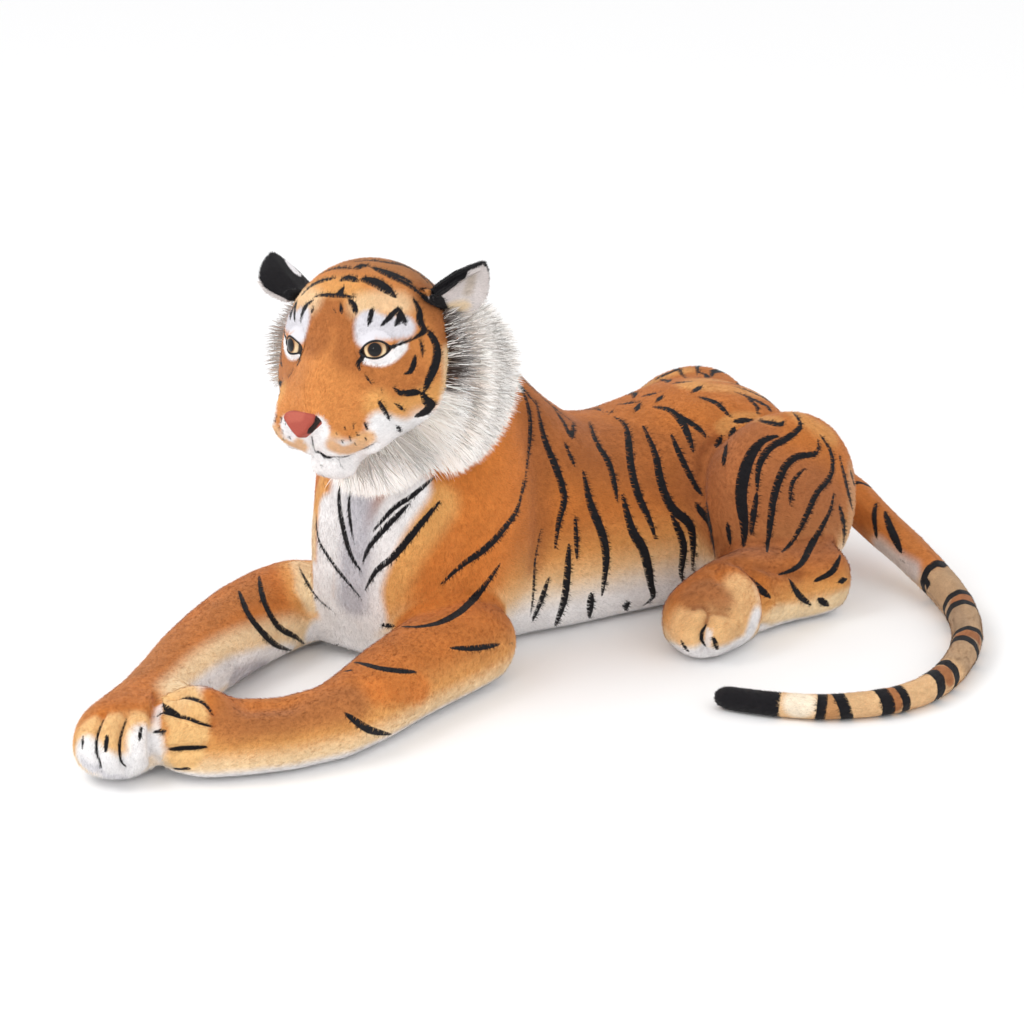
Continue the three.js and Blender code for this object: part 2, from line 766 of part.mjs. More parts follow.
const aroundLeftForeleg = forelegForm(1, fit.gap, 14, 12);
for (const [name, side] of sides) {
  const armCuts = [aroundTrunk, neckSeat, aroundTurningHead];
  const armShell = cut(shoulderForm(side, 0, 3), shoulderForm(side, -plush.limbThickness, 2), ...armCuts);
  addPiece("shoulder_cover_" + name, "coat", floored(armShell));
  const armCore = shoulderForm(side, -plush.limbThickness - fit.gap, 2);
  addPiece("shoulder_stuffing_" + name, "stuffing", cut(armCore, ...armCuts));

  const legCuts = [aroundTrunk, shoulderForm(side, fit.gap, 3), ...(side < 0 ? [aroundLeftForeleg] : [])];
  const legShell = cut(forelegForm(side, 0, 14, 12), forelegForm(side, -plush.limbThickness, 9, 8), ...legCuts);
  addPiece("foreleg_cover_" + name, "coat", floored(legShell));
  const legCore = forelegForm(side, -plush.limbThickness - fit.gap, 9, 8);
  addPiece("foreleg_stuffing_" + name, "stuffing", cut(legCore, ...legCuts));

  const thighShell = cut(haunchForm(side, 0, 3), haunchForm(side, -plush.limbThickness, 2));
  addPiece("haunch_cover_" + name, "coat", floored(cut(thighShell, aroundTrunk)));
  const thighCore = haunchForm(side, -plush.limbThickness - fit.gap, 2);
  addPiece("haunch_stuffing_" + name, "stuffing", cut(thighCore, aroundTrunk));

  const footCuts = [haunchForm(side, fit.gap, 3), aroundTrunk];
  const footShell = cut(footForm(side, 0, 12, 12), footForm(side, -plush.limbThickness, 8, 8));
  addPiece("hind_foot_cover_" + name, "coat", floored(cut(footShell, ...footCuts)));
  const footCore = footForm(side, -plush.limbThickness - fit.gap, 8, 8);
  addPiece("hind_foot_stuffing_" + name, "stuffing", cut(footCore, ...footCuts));
}

// Head pieces.

const grooves = sides.map(([, side]) => earRoot(side, fit.gap));
const eyeTools = [];
for (const [name, side] of sides) {
  const place = eyePlace(side);
  addPiece("eye_" + name, "eye", turnedPiece(eyeProfile(0), place));
  addPiece("eye_washer_" + name, "washer", turnedPiece(washerProfile(0), place));
  eyeTools.push(turnedPiece(eyeProfile(fit.gap), place), turnedPiece(washerProfile(fit.gap), place));
}
const headSkin = join(headForm(0, 5), neckBall);
const headShell = cut(headSkin, headInside(plush.headThickness), neckOpening(neck.openingRadius));
addPiece("head_cover", "coat", cut(headShell, ...eyeTools, ...grooves));
const neckPlug = neckOpening(neck.openingRadius - fit.gap).intersect(neckBall);
const headCore = join(headInside(plush.headThickness + fit.gap), neckPlug);
addPiece("head_stuffing", "stuffing", cut(headCore, ...eyeTools, ...grooves));

const aroundHead = headForm(fit.gap, 5);
addPiece("nose", "nose", cut(noseForm(), aroundHead));

const frontOfBody = join(
  trunkForm(ruff.turnClearance, 18, 12),
  ...sides.map(([, side]) => shoulderForm(side, ruff.turnClearance, 3)),
);
const turnShares = [-1, 0, 1];
const sweptFront = turnShares.map((share) =>
  turned(frontOfBody, neckPlace, upright, share * head.turnRange),
);
const ruffCuts = [aroundHead, neckSeat, ...sweptFront];
for (const [name, side] of sides) {
  const sweptHead = turnShares.map((share) =>
    turned(aroundHead, earPlace(side), alongRoot, share * ear.foldRange),
  );
  const backLayer = cut(earLayer(side, 0, ear.backThickness, 0), ...sweptHead);
  addPiece("ear_back_" + name, "blackCoat", join(backLayer, earRoot(side, 0)));
  const liningOffset = (ear.backThickness + ear.liningThickness) / 2;
  const lining = earLayer(side, liningOffset, ear.liningThickness, ear.rim);
  const aroundBack = earLayer(side, 0, ear.backThickness, 0, fit.gap);
  const liningCuts = [aroundBack, earRoot(side, fit.gap), ...sweptHead];
  addPiece("ear_lining_" + name, "paleCoat", cut(lining, ...liningCuts));
  addPiece("ruff_" + name, "longPile", cut(ruffSide(side), ...ruffCuts));
}
addPiece("ruff_chin", "longPile", cut(ruffChin(), ...ruffCuts));

// Tail pieces.

const tailEnd = 1 - tail.tipLength / tailLength;
const tailCaps = [0.035, 0];
const hollowCaps = [0.035, 0.04];
const tipCaps = [0, 0.2];
const tailSkin = join(tailForm(0, tailEnd, 0, 26, 8, tailCaps), tailBall);
addPiece("tail_cover", "coat", floored(cut(tailSkin, tailForm(0, 1, -plush.tailThickness, 20, 6, hollowCaps))));
const tipSpace = tailForm(tailEnd, 1, plush.tailThickness, 7, 8, [0, 0]);
const tailCore = tailForm(0, 1, -plush.tailThickness - fit.gap, 20, 6, hollowCaps);
addPiece("tail_stuffing", "stuffing", cut(tailCore, tipSpace));
const tailTip = tailForm(tailEnd + fit.gap / tailLength, 1, 0, 7, 8, tipCaps);
addPiece("tail_tip", "blackCoat", floored(tailTip));

export default tigerToy;
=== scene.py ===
"""A large stuffed tiger on a white floor, in short plush pile with a long ruff round its cheeks."""

import json
import math

import bpy
import numpy as np
from mathutils import Matrix, Vector
from mathutils.bvhtree import BVHTree
from mathutils.kdtree import KDTree

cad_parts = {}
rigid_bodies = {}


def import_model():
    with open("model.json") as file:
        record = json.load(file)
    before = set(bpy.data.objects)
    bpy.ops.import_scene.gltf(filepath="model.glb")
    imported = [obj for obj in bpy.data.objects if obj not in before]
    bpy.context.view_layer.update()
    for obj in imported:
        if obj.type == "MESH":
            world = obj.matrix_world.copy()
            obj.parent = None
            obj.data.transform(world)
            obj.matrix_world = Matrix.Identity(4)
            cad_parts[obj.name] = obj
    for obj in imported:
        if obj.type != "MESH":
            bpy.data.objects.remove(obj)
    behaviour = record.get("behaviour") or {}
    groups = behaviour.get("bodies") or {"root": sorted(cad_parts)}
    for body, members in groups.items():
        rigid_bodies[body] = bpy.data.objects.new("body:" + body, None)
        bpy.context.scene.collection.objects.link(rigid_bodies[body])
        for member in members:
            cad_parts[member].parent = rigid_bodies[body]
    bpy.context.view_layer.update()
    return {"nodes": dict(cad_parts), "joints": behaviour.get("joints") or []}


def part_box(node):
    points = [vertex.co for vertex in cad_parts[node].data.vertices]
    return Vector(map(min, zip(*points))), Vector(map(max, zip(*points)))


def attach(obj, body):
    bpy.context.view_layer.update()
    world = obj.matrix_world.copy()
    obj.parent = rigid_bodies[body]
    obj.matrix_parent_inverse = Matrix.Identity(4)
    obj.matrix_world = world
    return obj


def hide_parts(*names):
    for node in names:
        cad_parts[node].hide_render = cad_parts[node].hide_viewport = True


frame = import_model()
solids = frame["nodes"]

MM = 0.001


# The photograph's view

PHOTO_WIDTH = 1024
SENSOR_WIDTH = 36
VIEW_AZIMUTH = math.radians(58)
VIEW_ELEVATION = math.radians(20)
VIEW_DISTANCE = 3.3
VIEW_TARGET = Vector((0.115, -0.2, 0.18))
WIDTH_AT_TARGET = 1.215

view_back = Vector(
    (
        math.sin(VIEW_AZIMUTH) * math.cos(VIEW_ELEVATION),
        -math.cos(VIEW_AZIMUTH) * math.cos(VIEW_ELEVATION),
        math.sin(VIEW_ELEVATION),
    )
)
view_right = Vector((math.cos(VIEW_AZIMUTH), math.sin(VIEW_AZIMUTH), 0))
view_up = view_back.cross(view_right)
view_point = VIEW_TARGET + view_back * VIEW_DISTANCE
pixels_at_one = PHOTO_WIDTH * VIEW_DISTANCE / WIDTH_AT_TARGET


def photo_ray(x, y):
    """The direction in which the photograph sees a pixel."""
    across = (x - PHOTO_WIDTH / 2) / pixels_at_one
    down = (y - PHOTO_WIDTH / 2) / pixels_at_one
    return (view_right * across - view_up * down - view_back).normalized()


def set_up_camera():
    lens = bpy.data.cameras.new("view")
    lens.sensor_width = SENSOR_WIDTH
    lens.lens = SENSOR_WIDTH * VIEW_DISTANCE / WIDTH_AT_TARGET
    camera = bpy.data.objects.new("view", lens)
    camera.location = view_point
    camera.rotation_euler = view_back.to_track_quat("Z", "Y").to_euler()
    bpy.context.scene.collection.objects.link(camera)
    bpy.context.scene.camera = camera


set_up_camera()


# Hand tools


def alone(piece):
    """Leaves this piece alone selected."""
    bpy.ops.object.select_all(action="DESELECT")
    piece.select_set(True)
    bpy.context.view_layer.objects.active = piece
    return piece


def finished(piece, kind, **settings):
    """Gives the piece a modifier and applies it."""
    alone(piece)
    modifier = piece.modifiers.new(kind.title(), kind)
    for name, value in settings.items():
        setattr(modifier, name, value)
    bpy.ops.object.modifier_apply(modifier=modifier.name)
    return piece


def points_of(piece, what="co"):
    """The places of a piece's points, or their normals."""
    flat = np.empty(len(piece.data.vertices) * 3, np.float32)
    piece.data.vertices.foreach_get(what, flat)
    return flat.reshape(-1, 3).astype(float)


def move_points(piece, points):
    piece.data.vertices.foreach_set("co", points.astype(np.float32).ravel())
    piece.data.update()


def unit(vectors):
    return vectors / np.maximum(np.linalg.norm(vectors, axis=-1, keepdims=True), 1e-12)


def smooth_step(low, high, value):
    share = np.clip((value - low) / (high - low), 0, 1)
    return share * share * (3 - 2 * share)


def middle_of(node):
    low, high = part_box(node)
    return (low + high) / 2


def either(fine):
    return fine


def joint_place(name):
    """A point on the joint's axis."""
    return np.array(next(joint for joint in frame["joints"] if joint["name"] == name)["pos_m"])


def dress(piece, finish, body, nodes):
    """Puts a stuffed piece on its body in place of its solids."""
    piece.data.materials.append(finish)
    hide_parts(*nodes)
    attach(piece, body)


# Mirror planes of the toy

eye_line = middle_of("eye_left") - middle_of("eye_right")
head_middle = np.array((middle_of("eye_left") + middle_of("eye_right")) / 2)
head_across = np.array(eye_line.normalized())
front_across = np.array(Vector((eye_line.x, eye_line.y, 0)).normalized())
head_ahead = np.cross(head_across, (0, 0, 1))
front_ahead = np.cross(front_across, (0, 0, 1))
neck_point = joint_place("head_turn")


def mirrored(points, plane):
    middle, across = plane
    return points - 2 * ((points - middle) @ across)[:, None] * across


TRUNK = (np.zeros(3), np.array((1.0, 0, 0)))
FRONT = (neck_point, front_across)
HEAD = (head_middle, head_across)

# What is drawn stays on the side that shows, or is repeated across a plane.
ONE_SIDE = (None,)
BOTH_SHOULDERS = (None, FRONT)
BOTH_FLANKS = (None, TRUNK)
BOTH_CHEEKS = (None, HEAD)
FAR_CHEEK = (HEAD,)


# Stuffed skins


def stuffed_skin(name, nodes, voxel, rounds, swell, early=0):
    """One sewn skin over the solids, its corners rounded by the stuffing."""
    copies = []
    for node in nodes:
        copy = solids[node].copy()
        copy.data = solids[node].data.copy()
        copy.parent = None
        for word in list(copy.keys()):
            del copy[word]
        bpy.context.scene.collection.objects.link(copy)
        copies.append(copy)
    bpy.ops.object.select_all(action="DESELECT")
    for copy in copies:
        copy.hide_viewport = False
        copy.select_set(True)
    bpy.context.view_layer.objects.active = copies[0]
    bpy.ops.object.join()
    skin = bpy.context.view_layer.objects.active
    skin.name = skin.data.name = name
    skin.data.materials.clear()
    bpy.ops.object.mode_set(mode="EDIT")
    bpy.ops.mesh.select_all(action="SELECT")
    bpy.ops.mesh.remove_doubles(threshold=0.02 * MM)
    bpy.ops.object.mode_set(mode="OBJECT")
    if early:
        finished(skin, "DISPLACE", strength=early, mid_level=0)
    finished(skin, "REMESH", mode="VOXEL", voxel_size=voxel)
    keep_outer_skin(skin)
    finished(skin, "SMOOTH", factor=0.6, iterations=rounds)
    finished(skin, "DISPLACE", strength=swell, mid_level=0)
    skin.data.shade_smooth()
    return skin


def keep_outer_skin(skin):
    """Drops the walls left inside, which don't join the highest point."""
    alone(skin)
    top = int(points_of(skin)[:, 2].argmax())
    bpy.ops.object.mode_set(mode="EDIT")
    bpy.ops.mesh.select_mode(type="VERT")
    bpy.ops.mesh.select_all(action="DESELECT")
    bpy.ops.object.mode_set(mode="OBJECT")
    skin.data.vertices[top].select = True
    bpy.ops.object.mode_set(mode="EDIT")
    bpy.ops.mesh.select_linked()
    bpy.ops.mesh.select_all(action="INVERT")
    bpy.ops.mesh.delete(type="VERT")
    bpy.ops.object.mode_set(mode="OBJECT")


def softened(piece, rounds, share):
    """Smooths a piece further, each point by its share."""
    group = piece.vertex_groups.new(name="softer")
    for index in np.flatnonzero(share > 0.02):
        group.add([int(index)], float(share[index]), "REPLACE")
    finished(piece, "SMOOTH", factor=0.6, iterations=rounds, vertex_group="softer")
    piece.vertex_groups.clear()


# Stands for nowhere near, in metres
FAR = 1.0
FLOOR_GAP = 0.2 * MM
STRIPE_TAPER = 0.75


class Coat:
    """A skin with its tints, its dark marks and the roots of its fibres."""

    def __init__(self, piece, base, fibres=0):
        self.piece = piece
        self.corners, self.weights = scattered(piece, fibres)
        self.skin = len(piece.data.vertices)
        self.points = self.spread(points_of(piece))
        self.normals = unit(self.spread(points_of(piece, "normal")))
        self.tree = BVHTree.FromObject(piece, bpy.context.evaluated_depsgraph_get())
        self.tint = np.tile(np.array(base, float), (len(self.points), 1))
        self.stripe = np.full(len(self.points), FAR)

    def spread(self, values):
        """Values at the skin's points, then the same at the roots of the fibres."""
        weights = self.weights if values.ndim == 1 else self.weights[:, :, None]
        return np.concatenate([values, (values[self.corners] * weights).sum(1)])

    def near(self, nodes):
        """Distance of every point from some of the solids."""
        return self.spread(near_nodes(self.points[: self.skin], nodes))

    def laid(self, pixels, plane=None):
        """Runs of points where a line drawn in the photograph lies on the skin."""
        runs = [[]]
        for x, y in evenly(pixels):
            place = self.tree.ray_cast(view_point, photo_ray(x, y))[0]
            if place is None:
                continue
            if runs[-1] and (Vector(runs[-1][-1]) - place).length > 26 * MM:
                runs.append([])
            runs[-1].append(tuple(place))
        found = [np.array(run) for run in runs if run]
        if plane is None:
            return found
        return [self.snapped(mirrored(run, plane)) for run in found]

    def snapped(self, points):
        return np.array([tuple(self.tree.find_nearest(Vector(point))[0]) for point in points])

    def gap(self, runs, half, taper=0):
        """How far each point lies outside the lines, less than nothing within them."""
        best = np.full(len(self.points), FAR)
        for run in runs:
            if len(run) == 1:
                run = np.vstack([run, run + 1e-6])
            share = np.linspace(-1, 1, len(run))
            halves = half * (1 - taper * np.abs(share) ** 2.4)
            best = np.minimum(best, from_line(self.points, run, halves))
        return best

    def lines(self, table):
        """Dark lines: half width, taper, sides and pixels."""
        for half, taper, planes, pixels in table:
            for plane in planes:
                gap = self.gap(self.laid(pixels, plane), half * MM, taper)
                self.stripe = np.minimum(self.stripe, gap)

    def marks(self, table, grow=1.0, add=0.0, taper=STRIPE_TAPER, planes=ONE_SIDE):
        """Dark stripes, drawn wider than they look, because the pile hides their edges."""
        self.lines([(half * grow + add, taper, planes, pixels) for half, pixels in table])

    def mark_places(self, half, places):
        """A dark stripe on the side that the photograph doesn't show."""
        gap = self.gap([self.snapped(places)], half * MM, STRIPE_TAPER)
        self.stripe = np.minimum(self.stripe, gap)

    def tones(self, table):
        """Tints brushed along lines: colour, half width, soft edge, strength, sides and pixels."""
        for colour, half, soft, strength, planes, pixels in table:
            for plane in planes:
                gap = self.gap(self.laid(pixels, plane), half * MM)
                self.wash(colour, strength * (1 - smooth_step(0, soft * MM, gap)))

    def wash(self, colour, share):
        self.tint += (np.array(colour) - self.tint) * np.clip(share, 0, 1)[:, None]

    def moves(self, table):
        """How far seams, folds or fuller places move the skin: height, half width, sides, pixels."""
        far = np.zeros(len(self.points))
        for most, half, planes, pixels in table:
            for plane in planes:
                gap = self.gap(self.laid(pixels, plane), 0)
                far = np.maximum(far, most * MM * np.exp(-((gap / (half * MM)) ** 2)))
        return far

    def done(self, creases=(), bulges=()):
        """Moves the skin in at its creases and out at its bulges, and writes the paint on it."""
        moved = self.points + self.normals * (self.moves(bulges) - self.moves(creases))[:, None]
        moved[:, 2] = np.maximum(moved[:, 2], FLOOR_GAP)
        move_points(self.piece, moved[: self.skin])
        self.points = moved
        self.normals = unit(self.spread(points_of(self.piece, "normal")))
        self.tint = np.clip(self.tint, 0, 1)
        paint(self.piece, self.tint[: self.skin], self.stripe[: self.skin])

    def pile(self, flow, length, lift, width):
        """Short fibres out of the skin, each lying the way that it is brushed."""
        chance = np.random.default_rng(11)
        root, facing = self.points[self.skin :], self.normals[self.skin :]
        above = (root[:, 2] > 3 * MM) | (facing[:, 2] > -0.5)
        root, facing = root[above], facing[above]
        flow = unit(flow[self.skin :][above]) + chance.normal(0, 0.22, root.shape)
        lay = unit(flow - (flow * facing).sum(1, keepdims=True) * facing)
        share = chance.uniform(0.65, 1.25, (len(root), 1))
        tip = root + (lay * length + facing * lift) * share
        tip[:, 2] = np.maximum(tip[:, 2], FLOOR_GAP)
        tint = self.tint[self.skin :][above] * chance.uniform(0.84, 1.16, (len(root), 1))
        stripe = self.stripe[self.skin :][above] + chance.normal(0, 0.3 * MM, len(root))
        tint += (np.array(INK) - tint) * smooth_step(0.9 * MM, -0.5 * MM, stripe)[:, None]
        rows = np.stack([root - facing * 0.4 * MM, tip])
        widths = np.array([width])
        # Painted shade: each fibre is darker at its root, deep in the pile, and a little lighter at its tip
        colours = np.stack([tint * 0.86, tint * 1.05])
        return strands("pile_" + self.piece.name[5:], rows, np.cross(facing, lay), widths, colours, facing)


def scattered(piece, count):
    """Seeded random places all over a piece: the corners of their faces and the share of each."""
    mesh = piece.data
    mesh.calc_loop_triangles()
    corners = np.empty(len(mesh.loop_triangles) * 3, np.int32)
    mesh.loop_triangles.foreach_get("vertices", corners)
    corners = corners.reshape(-1, 3)
    a, b, c = (points_of(piece)[corners[:, i]] for i in range(3))
    areas = np.linalg.norm(np.cross(b - a, c - a), axis=1)
    chance = np.random.default_rng(5)
    picked = chance.choice(len(areas), count, p=areas / areas.sum())
    share = chance.random((count, 2))
    over = share.sum(1) > 1
    share[over] = 1 - share[over]
    return corners[picked], np.column_stack([1 - share.sum(1), share])


def strands(name, rows, across, widths, colours, facing):
    """Flat strands that taper to a tip, each through its own row of points."""
    steps, count = rows.shape[:2]
    each = 2 * steps - 1
    points = np.empty((count, each, 3))
    tints = np.empty((count, each, 3))
    for step in range(steps - 1):
        points[:, 2 * step] = rows[step] - across * widths[step] / 2
        points[:, 2 * step + 1] = rows[step] + across * widths[step] / 2
        tints[:, 2 * step] = tints[:, 2 * step + 1] = colours[step]
    points[:, -1], tints[:, -1] = rows[-1], colours[-1]
    faces = [(2 * steps - 3, 2 * steps - 4, 2 * steps - 2)]
    for low in range(0, 2 * steps - 4, 2):
        faces += [(low + 1, low, low + 2), (low + 1, low + 2, low + 3)]
    corners = (np.arange(count)[:, None, None] * each + np.array(faces)[None]).ravel()
    mesh = bpy.data.meshes.new(name)
    mesh.vertices.add(count * each)
    mesh.vertices.foreach_set("co", points.astype(np.float32).ravel())
    mesh.loops.add(len(corners))
    mesh.loops.foreach_set("vertex_index", corners.astype(np.int32))
    mesh.polygons.add(len(corners) // 3)
    mesh.polygons.foreach_set("loop_start", np.arange(0, len(corners), 3, dtype=np.int32))
    mesh.update(calc_edges=True)
    mesh.shade_smooth()
    mesh.normals_split_custom_set_from_vertices(np.repeat(facing, each, axis=0).tolist())
    colour = mesh.attributes.new("tint", "FLOAT_COLOR", "POINT")
    opaque = np.concatenate([np.clip(tints, 0, 1), np.ones((count, each, 1))], axis=2)
    colour.data.foreach_set("color", opaque.astype(np.float32).ravel())
    bake_cells(mesh, count, each, corners)
    piece = bpy.data.objects.new(name, mesh)
    bpy.context.scene.collection.objects.link(piece)
    return piece


def bake_cells(mesh, count, each, corners):
    """Gives every strand a cell of its own in the flat map."""
    side = math.ceil(math.sqrt(count))
    up = np.linspace(0.1, 0.9, (each + 1) // 2)[np.arange(each) // 2]
    along = np.where(np.arange(each) % 2 == 0, 0.15, 0.85)
    along[-1] = 0.5
    strand, place = corners // each, corners % each
    flat = np.column_stack([(strand % side + along[place]) / side, (strand // side + up[place]) / side])
    mesh.uv_layers.new(name="OFBake").data.foreach_set("uv", flat.astype(np.float32).ravel())


def paint(piece, tint, stripe):
    """Keeps linear colours and the distance outside the stripes, in millimetres, on the points."""
    colours = piece.data.attributes.new("tint", "FLOAT_COLOR", "POINT")
    opaque = np.hstack([np.clip(tint, 0, 1), np.ones((len(tint), 1))])
    colours.data.foreach_set("color", opaque.astype(np.float32).ravel())
    edge = piece.data.attributes.new("stripe", "FLOAT", "POINT")
    edge.data.foreach_set("value", np.clip(stripe / MM, -20, 20).astype(np.float32))


def evenly(pixels, step=5):
    """Smooth line through the pixels, with a point every few pixels."""
    if len(pixels) == 1:
        return pixels
    ends = [pixels[0], *pixels, pixels[-1]]
    line = []
    for before, start, end, after in zip(ends, ends[1:], ends[2:], ends[3:]):
        a, b, c, d = (np.array(point, float) for point in (before, start, end, after))
        count = max(1, round(float(np.linalg.norm(c - b)) / step))
        for share in np.arange(count) / count:
            pull = b + (c - a) * share / 2
            pull = pull + (a - 2.5 * b + 2 * c - d / 2) * share**2
            line.append(pull + (-a / 2 + 1.5 * b - 1.5 * c + d / 2) * share**3)
    line.append(np.array(pixels[-1], float))
    return line


def from_line(points, line, halves):
    """Distance of points from the edge of a line that has its own half widths."""
    reach = 40 * MM + float(np.max(halves))
    within = (points > line.min(0) - reach) & (points < line.max(0) + reach)
    near = np.flatnonzero(within.all(1))
    spots = points[near]
    best = np.full(len(near), FAR)
    for start, end, first, last in zip(line, line[1:], halves, halves[1:]):
        step = end - start
        share = np.clip((spots - start) @ step / max(step @ step, 1e-12), 0, 1)
        away = np.linalg.norm(spots - start - share[:, None] * step, axis=1)
        best = np.minimum(best, away - first - (last - first) * share)
    gaps = np.full(len(points), FAR)
    gaps[near] = best
    return gaps


# Colours of the plush, in linear light

ORANGE = (0.53, 0.167, 0.03)
LIT_ORANGE = (0.64, 0.198, 0.034)
# Rust-brown pile; the same colour also serves as painted shade on the flanks and in folds
RUST_AND_SHADE = (0.36, 0.11, 0.026)
BROWN = (0.2, 0.085, 0.035)
FACE_ORANGE = (0.63, 0.24, 0.062)
GOLD = (0.76, 0.38, 0.115)
CREAM = (0.88, 0.68, 0.42)
WHITE = (0.87, 0.85, 0.85)
# White pile in shade, as lilac grey: painted shade
PAINTED_SHADE_WHITE = (0.5, 0.49, 0.54)
INK = (0.006, 0.005, 0.007)


# Marks, drawn over the photograph: half width in millimetres, then pixels

CHEST_STRIPES = [
    (2.8, [(341, 481), (339, 501), (344, 531), (351, 555), (361, 571)]),
    (1.6, [(351, 485), (349, 505), (351, 526), (354, 542)]),
    (2.0, [(316, 514), (319, 540), (332, 562), (346, 580), (361, 598)]),
    (2.6, [(410, 503), (387, 526), (369, 547), (363, 562)]),
    (3.2, [(440, 501), (419, 526), (394, 556), (376, 571), (365, 590)]),
    (2.2, [(435, 476), (412, 496), (394, 508), (373, 531)]),
    (1.3, [(297, 557), (300, 569), (316, 596), (334, 612)]),
    (2.4, [(400, 626.5), (390, 625.5), (380, 625)]),
]
SHOULDER_STRIPES = [
    (2.6, [(505, 370), (524, 395), (530, 422), (528, 454), (523, 494)]),
    (3.6, [(523, 480), (519, 504), (509, 522), (487, 547), (462, 565), (441, 584)]),
    (1.6, [(541, 528), (535, 560), (533, 596), (530, 617)]),
]
ELBOW_STRIPES = [
    (3.8, [(500, 564), (482, 589), (462, 610), (441, 622), (420, 626.5), (402, 626.5)]),
    (2.6, [(450, 648), (476, 648), (500, 644)]),
    (2.0, [(509, 644), (523, 639)]),
]
FORELEG_STRIPES = [
    (3.4, [(346, 662), (360, 663), (384, 669), (416, 672)]),
    (2.0, [(334, 673), (353, 670)]),
    (3.4, [(345, 713), (370, 730), (400, 735), (412, 733)]),
]
FAR_FORELEG_STRIPES = [
    (3.4, [(259, 576), (264, 601), (278, 626), (296, 637), (310, 646), (339, 644)]),
    (3.6, [(239, 591), (249, 615), (265, 635), (280, 647), (301, 652)]),
]
PAW_LINES = [
    (1.8, [(177, 708), (190, 705), (204, 709), (213, 716)]),
    (1.8, [(157, 717), (181, 716), (199, 722), (212, 725)]),
    (2.8, [(165, 751), (185, 749), (206, 748)]),
    (1.8, [(102, 714), (94, 739), (99, 774)]),
    (1.8, [(127, 714), (120, 739), (122, 762), (128, 771)]),
]
PAW_DASHES = [
    (2.0, [(167, 714), (179, 715)]),
    (1.8, [(156, 731), (167, 732)]),
    (2.0, [(175, 768), (189, 768)]),
    (1.8, [(83, 737), (83, 748)]),
    (1.8, [(107, 736), (106, 751)]),
    (1.8, [(141, 728), (139, 740)]),
]
FLANK_STRIPES = [
    (3.2, [(536, 401), (544, 438), (557, 471), (564, 499), (559, 520), (555, 548)]),
    (1.8, [(564, 442), (575, 467)]),
    (2.8, [(553, 407), (563, 422), (571, 436), (573, 422)]),
    (3.2, [(589, 422), (596, 442), (608, 462), (614, 483), (617, 501)]),
    (3.8, [(583, 471), (590, 503), (602, 534), (606, 560), (602, 595)]),
    (3.6, [(614, 417), (626, 428), (631, 467), (638, 495), (651, 524), (655, 539)]),
    (4.2, [(622, 495), (632, 530), (644, 552), (651, 585), (653, 597), (644, 605)]),
    (3.8, [(643, 426), (655, 454), (661, 483), (671, 507), (689, 524), (693, 548), (691, 589)]),
    (3.4, [(671, 515), (683, 544), (681, 575), (687, 589)]),
    (2.6, [(671, 434), (683, 462), (700, 495)]),
    (3.2, [(653, 407), (671, 411), (685, 428), (693, 452)]),
    (2.6, [(679, 415), (700, 430), (706, 438)]),
    (2.8, [(698, 397), (716, 403), (730, 417)]),
    (3.0, [(695, 503), (710, 534), (714, 575)]),
    (2.0, [(704, 499), (712, 536)]),
    (3.2, [(569, 544), (565, 595), (555, 626)]),
    (3.4, [(591, 593), (589, 626)]),
    (3.6, [(626, 601), (626, 620)]),
    (3.0, [(675, 589), (671, 603)]),
    (1.8, [(575, 515), (577, 560)]),
    (2.2, [(549, 577), (541, 600), (532, 622)]),
    (2.4, [(612, 411), (608, 415)]),
    (2.4, [(640, 403), (634, 413)]),
    (2.4, [(663, 395), (655, 403)]),
    (2.4, [(702, 386), (691, 393)]),
    (2.6, [(746, 397), (757, 407), (757, 414)]),
]
THIGH_STRIPES = [
    (5.0, [(777, 436), (761, 442), (748, 461), (741, 492), (744, 524), (744, 546)]),
    (2.8, [(779, 403), (796, 416), (800, 427), (787, 438), (770, 448), (759, 466), (757, 492)]),
    (2.4, [(757, 492), (753, 518), (751, 535)]),
    (3.4, [(818, 440), (816, 453), (796, 457), (783, 470), (774, 496), (770, 524), (767, 552)]),
    (1.8, [(805, 468), (792, 483), (790, 505)]),
    (3.0, [(820, 435), (831, 453), (831, 474), (816, 494), (805, 518), (792, 542), (782, 552)]),
    (2.8, [(834, 492), (829, 513), (813, 542), (800, 565), (781, 574)]),
    (2.6, [(839, 505), (844, 535), (835, 568), (816, 582)]),
    (2.2, [(839, 455), (848, 492), (855, 524), (856, 557)]),
    (1.8, [(850, 470), (857, 496)]),
    (2.2, [(722, 435), (716, 446)]),
    (2.4, [(735, 427), (727, 444), (723, 466)]),
    (1.8, [(727, 522), (730, 544)]),
    (2.6, [(733, 422), (753, 420), (781, 425), (784, 421)]),
    (2.8, [(753, 572), (762, 583), (772, 598)]),
    (2.6, [(790, 579), (798, 594), (811, 605)]),
    (2.8, [(818, 598), (829, 606)]),
    (2.6, [(838, 582), (847, 579)]),
]
TOES = [
    (90, 752), (110, 756), (137, 752),
    (182, 704), (172, 733), (178, 762),
    (680, 636), (695, 648), (716, 648),
]
FOOT_LINES = [(2.6, [(706, 626), (701, 634), (701, 643), (706, 653)])]
FOOT_DASHES = [
    (2.4, [(684, 640), (689, 649)]),
    (2.2, [(713, 637), (716, 647)]),
    (1.6, [(662, 637), (664, 645)]),
]


# Tints: colour, half width, soft edge, strength, sides and pixels

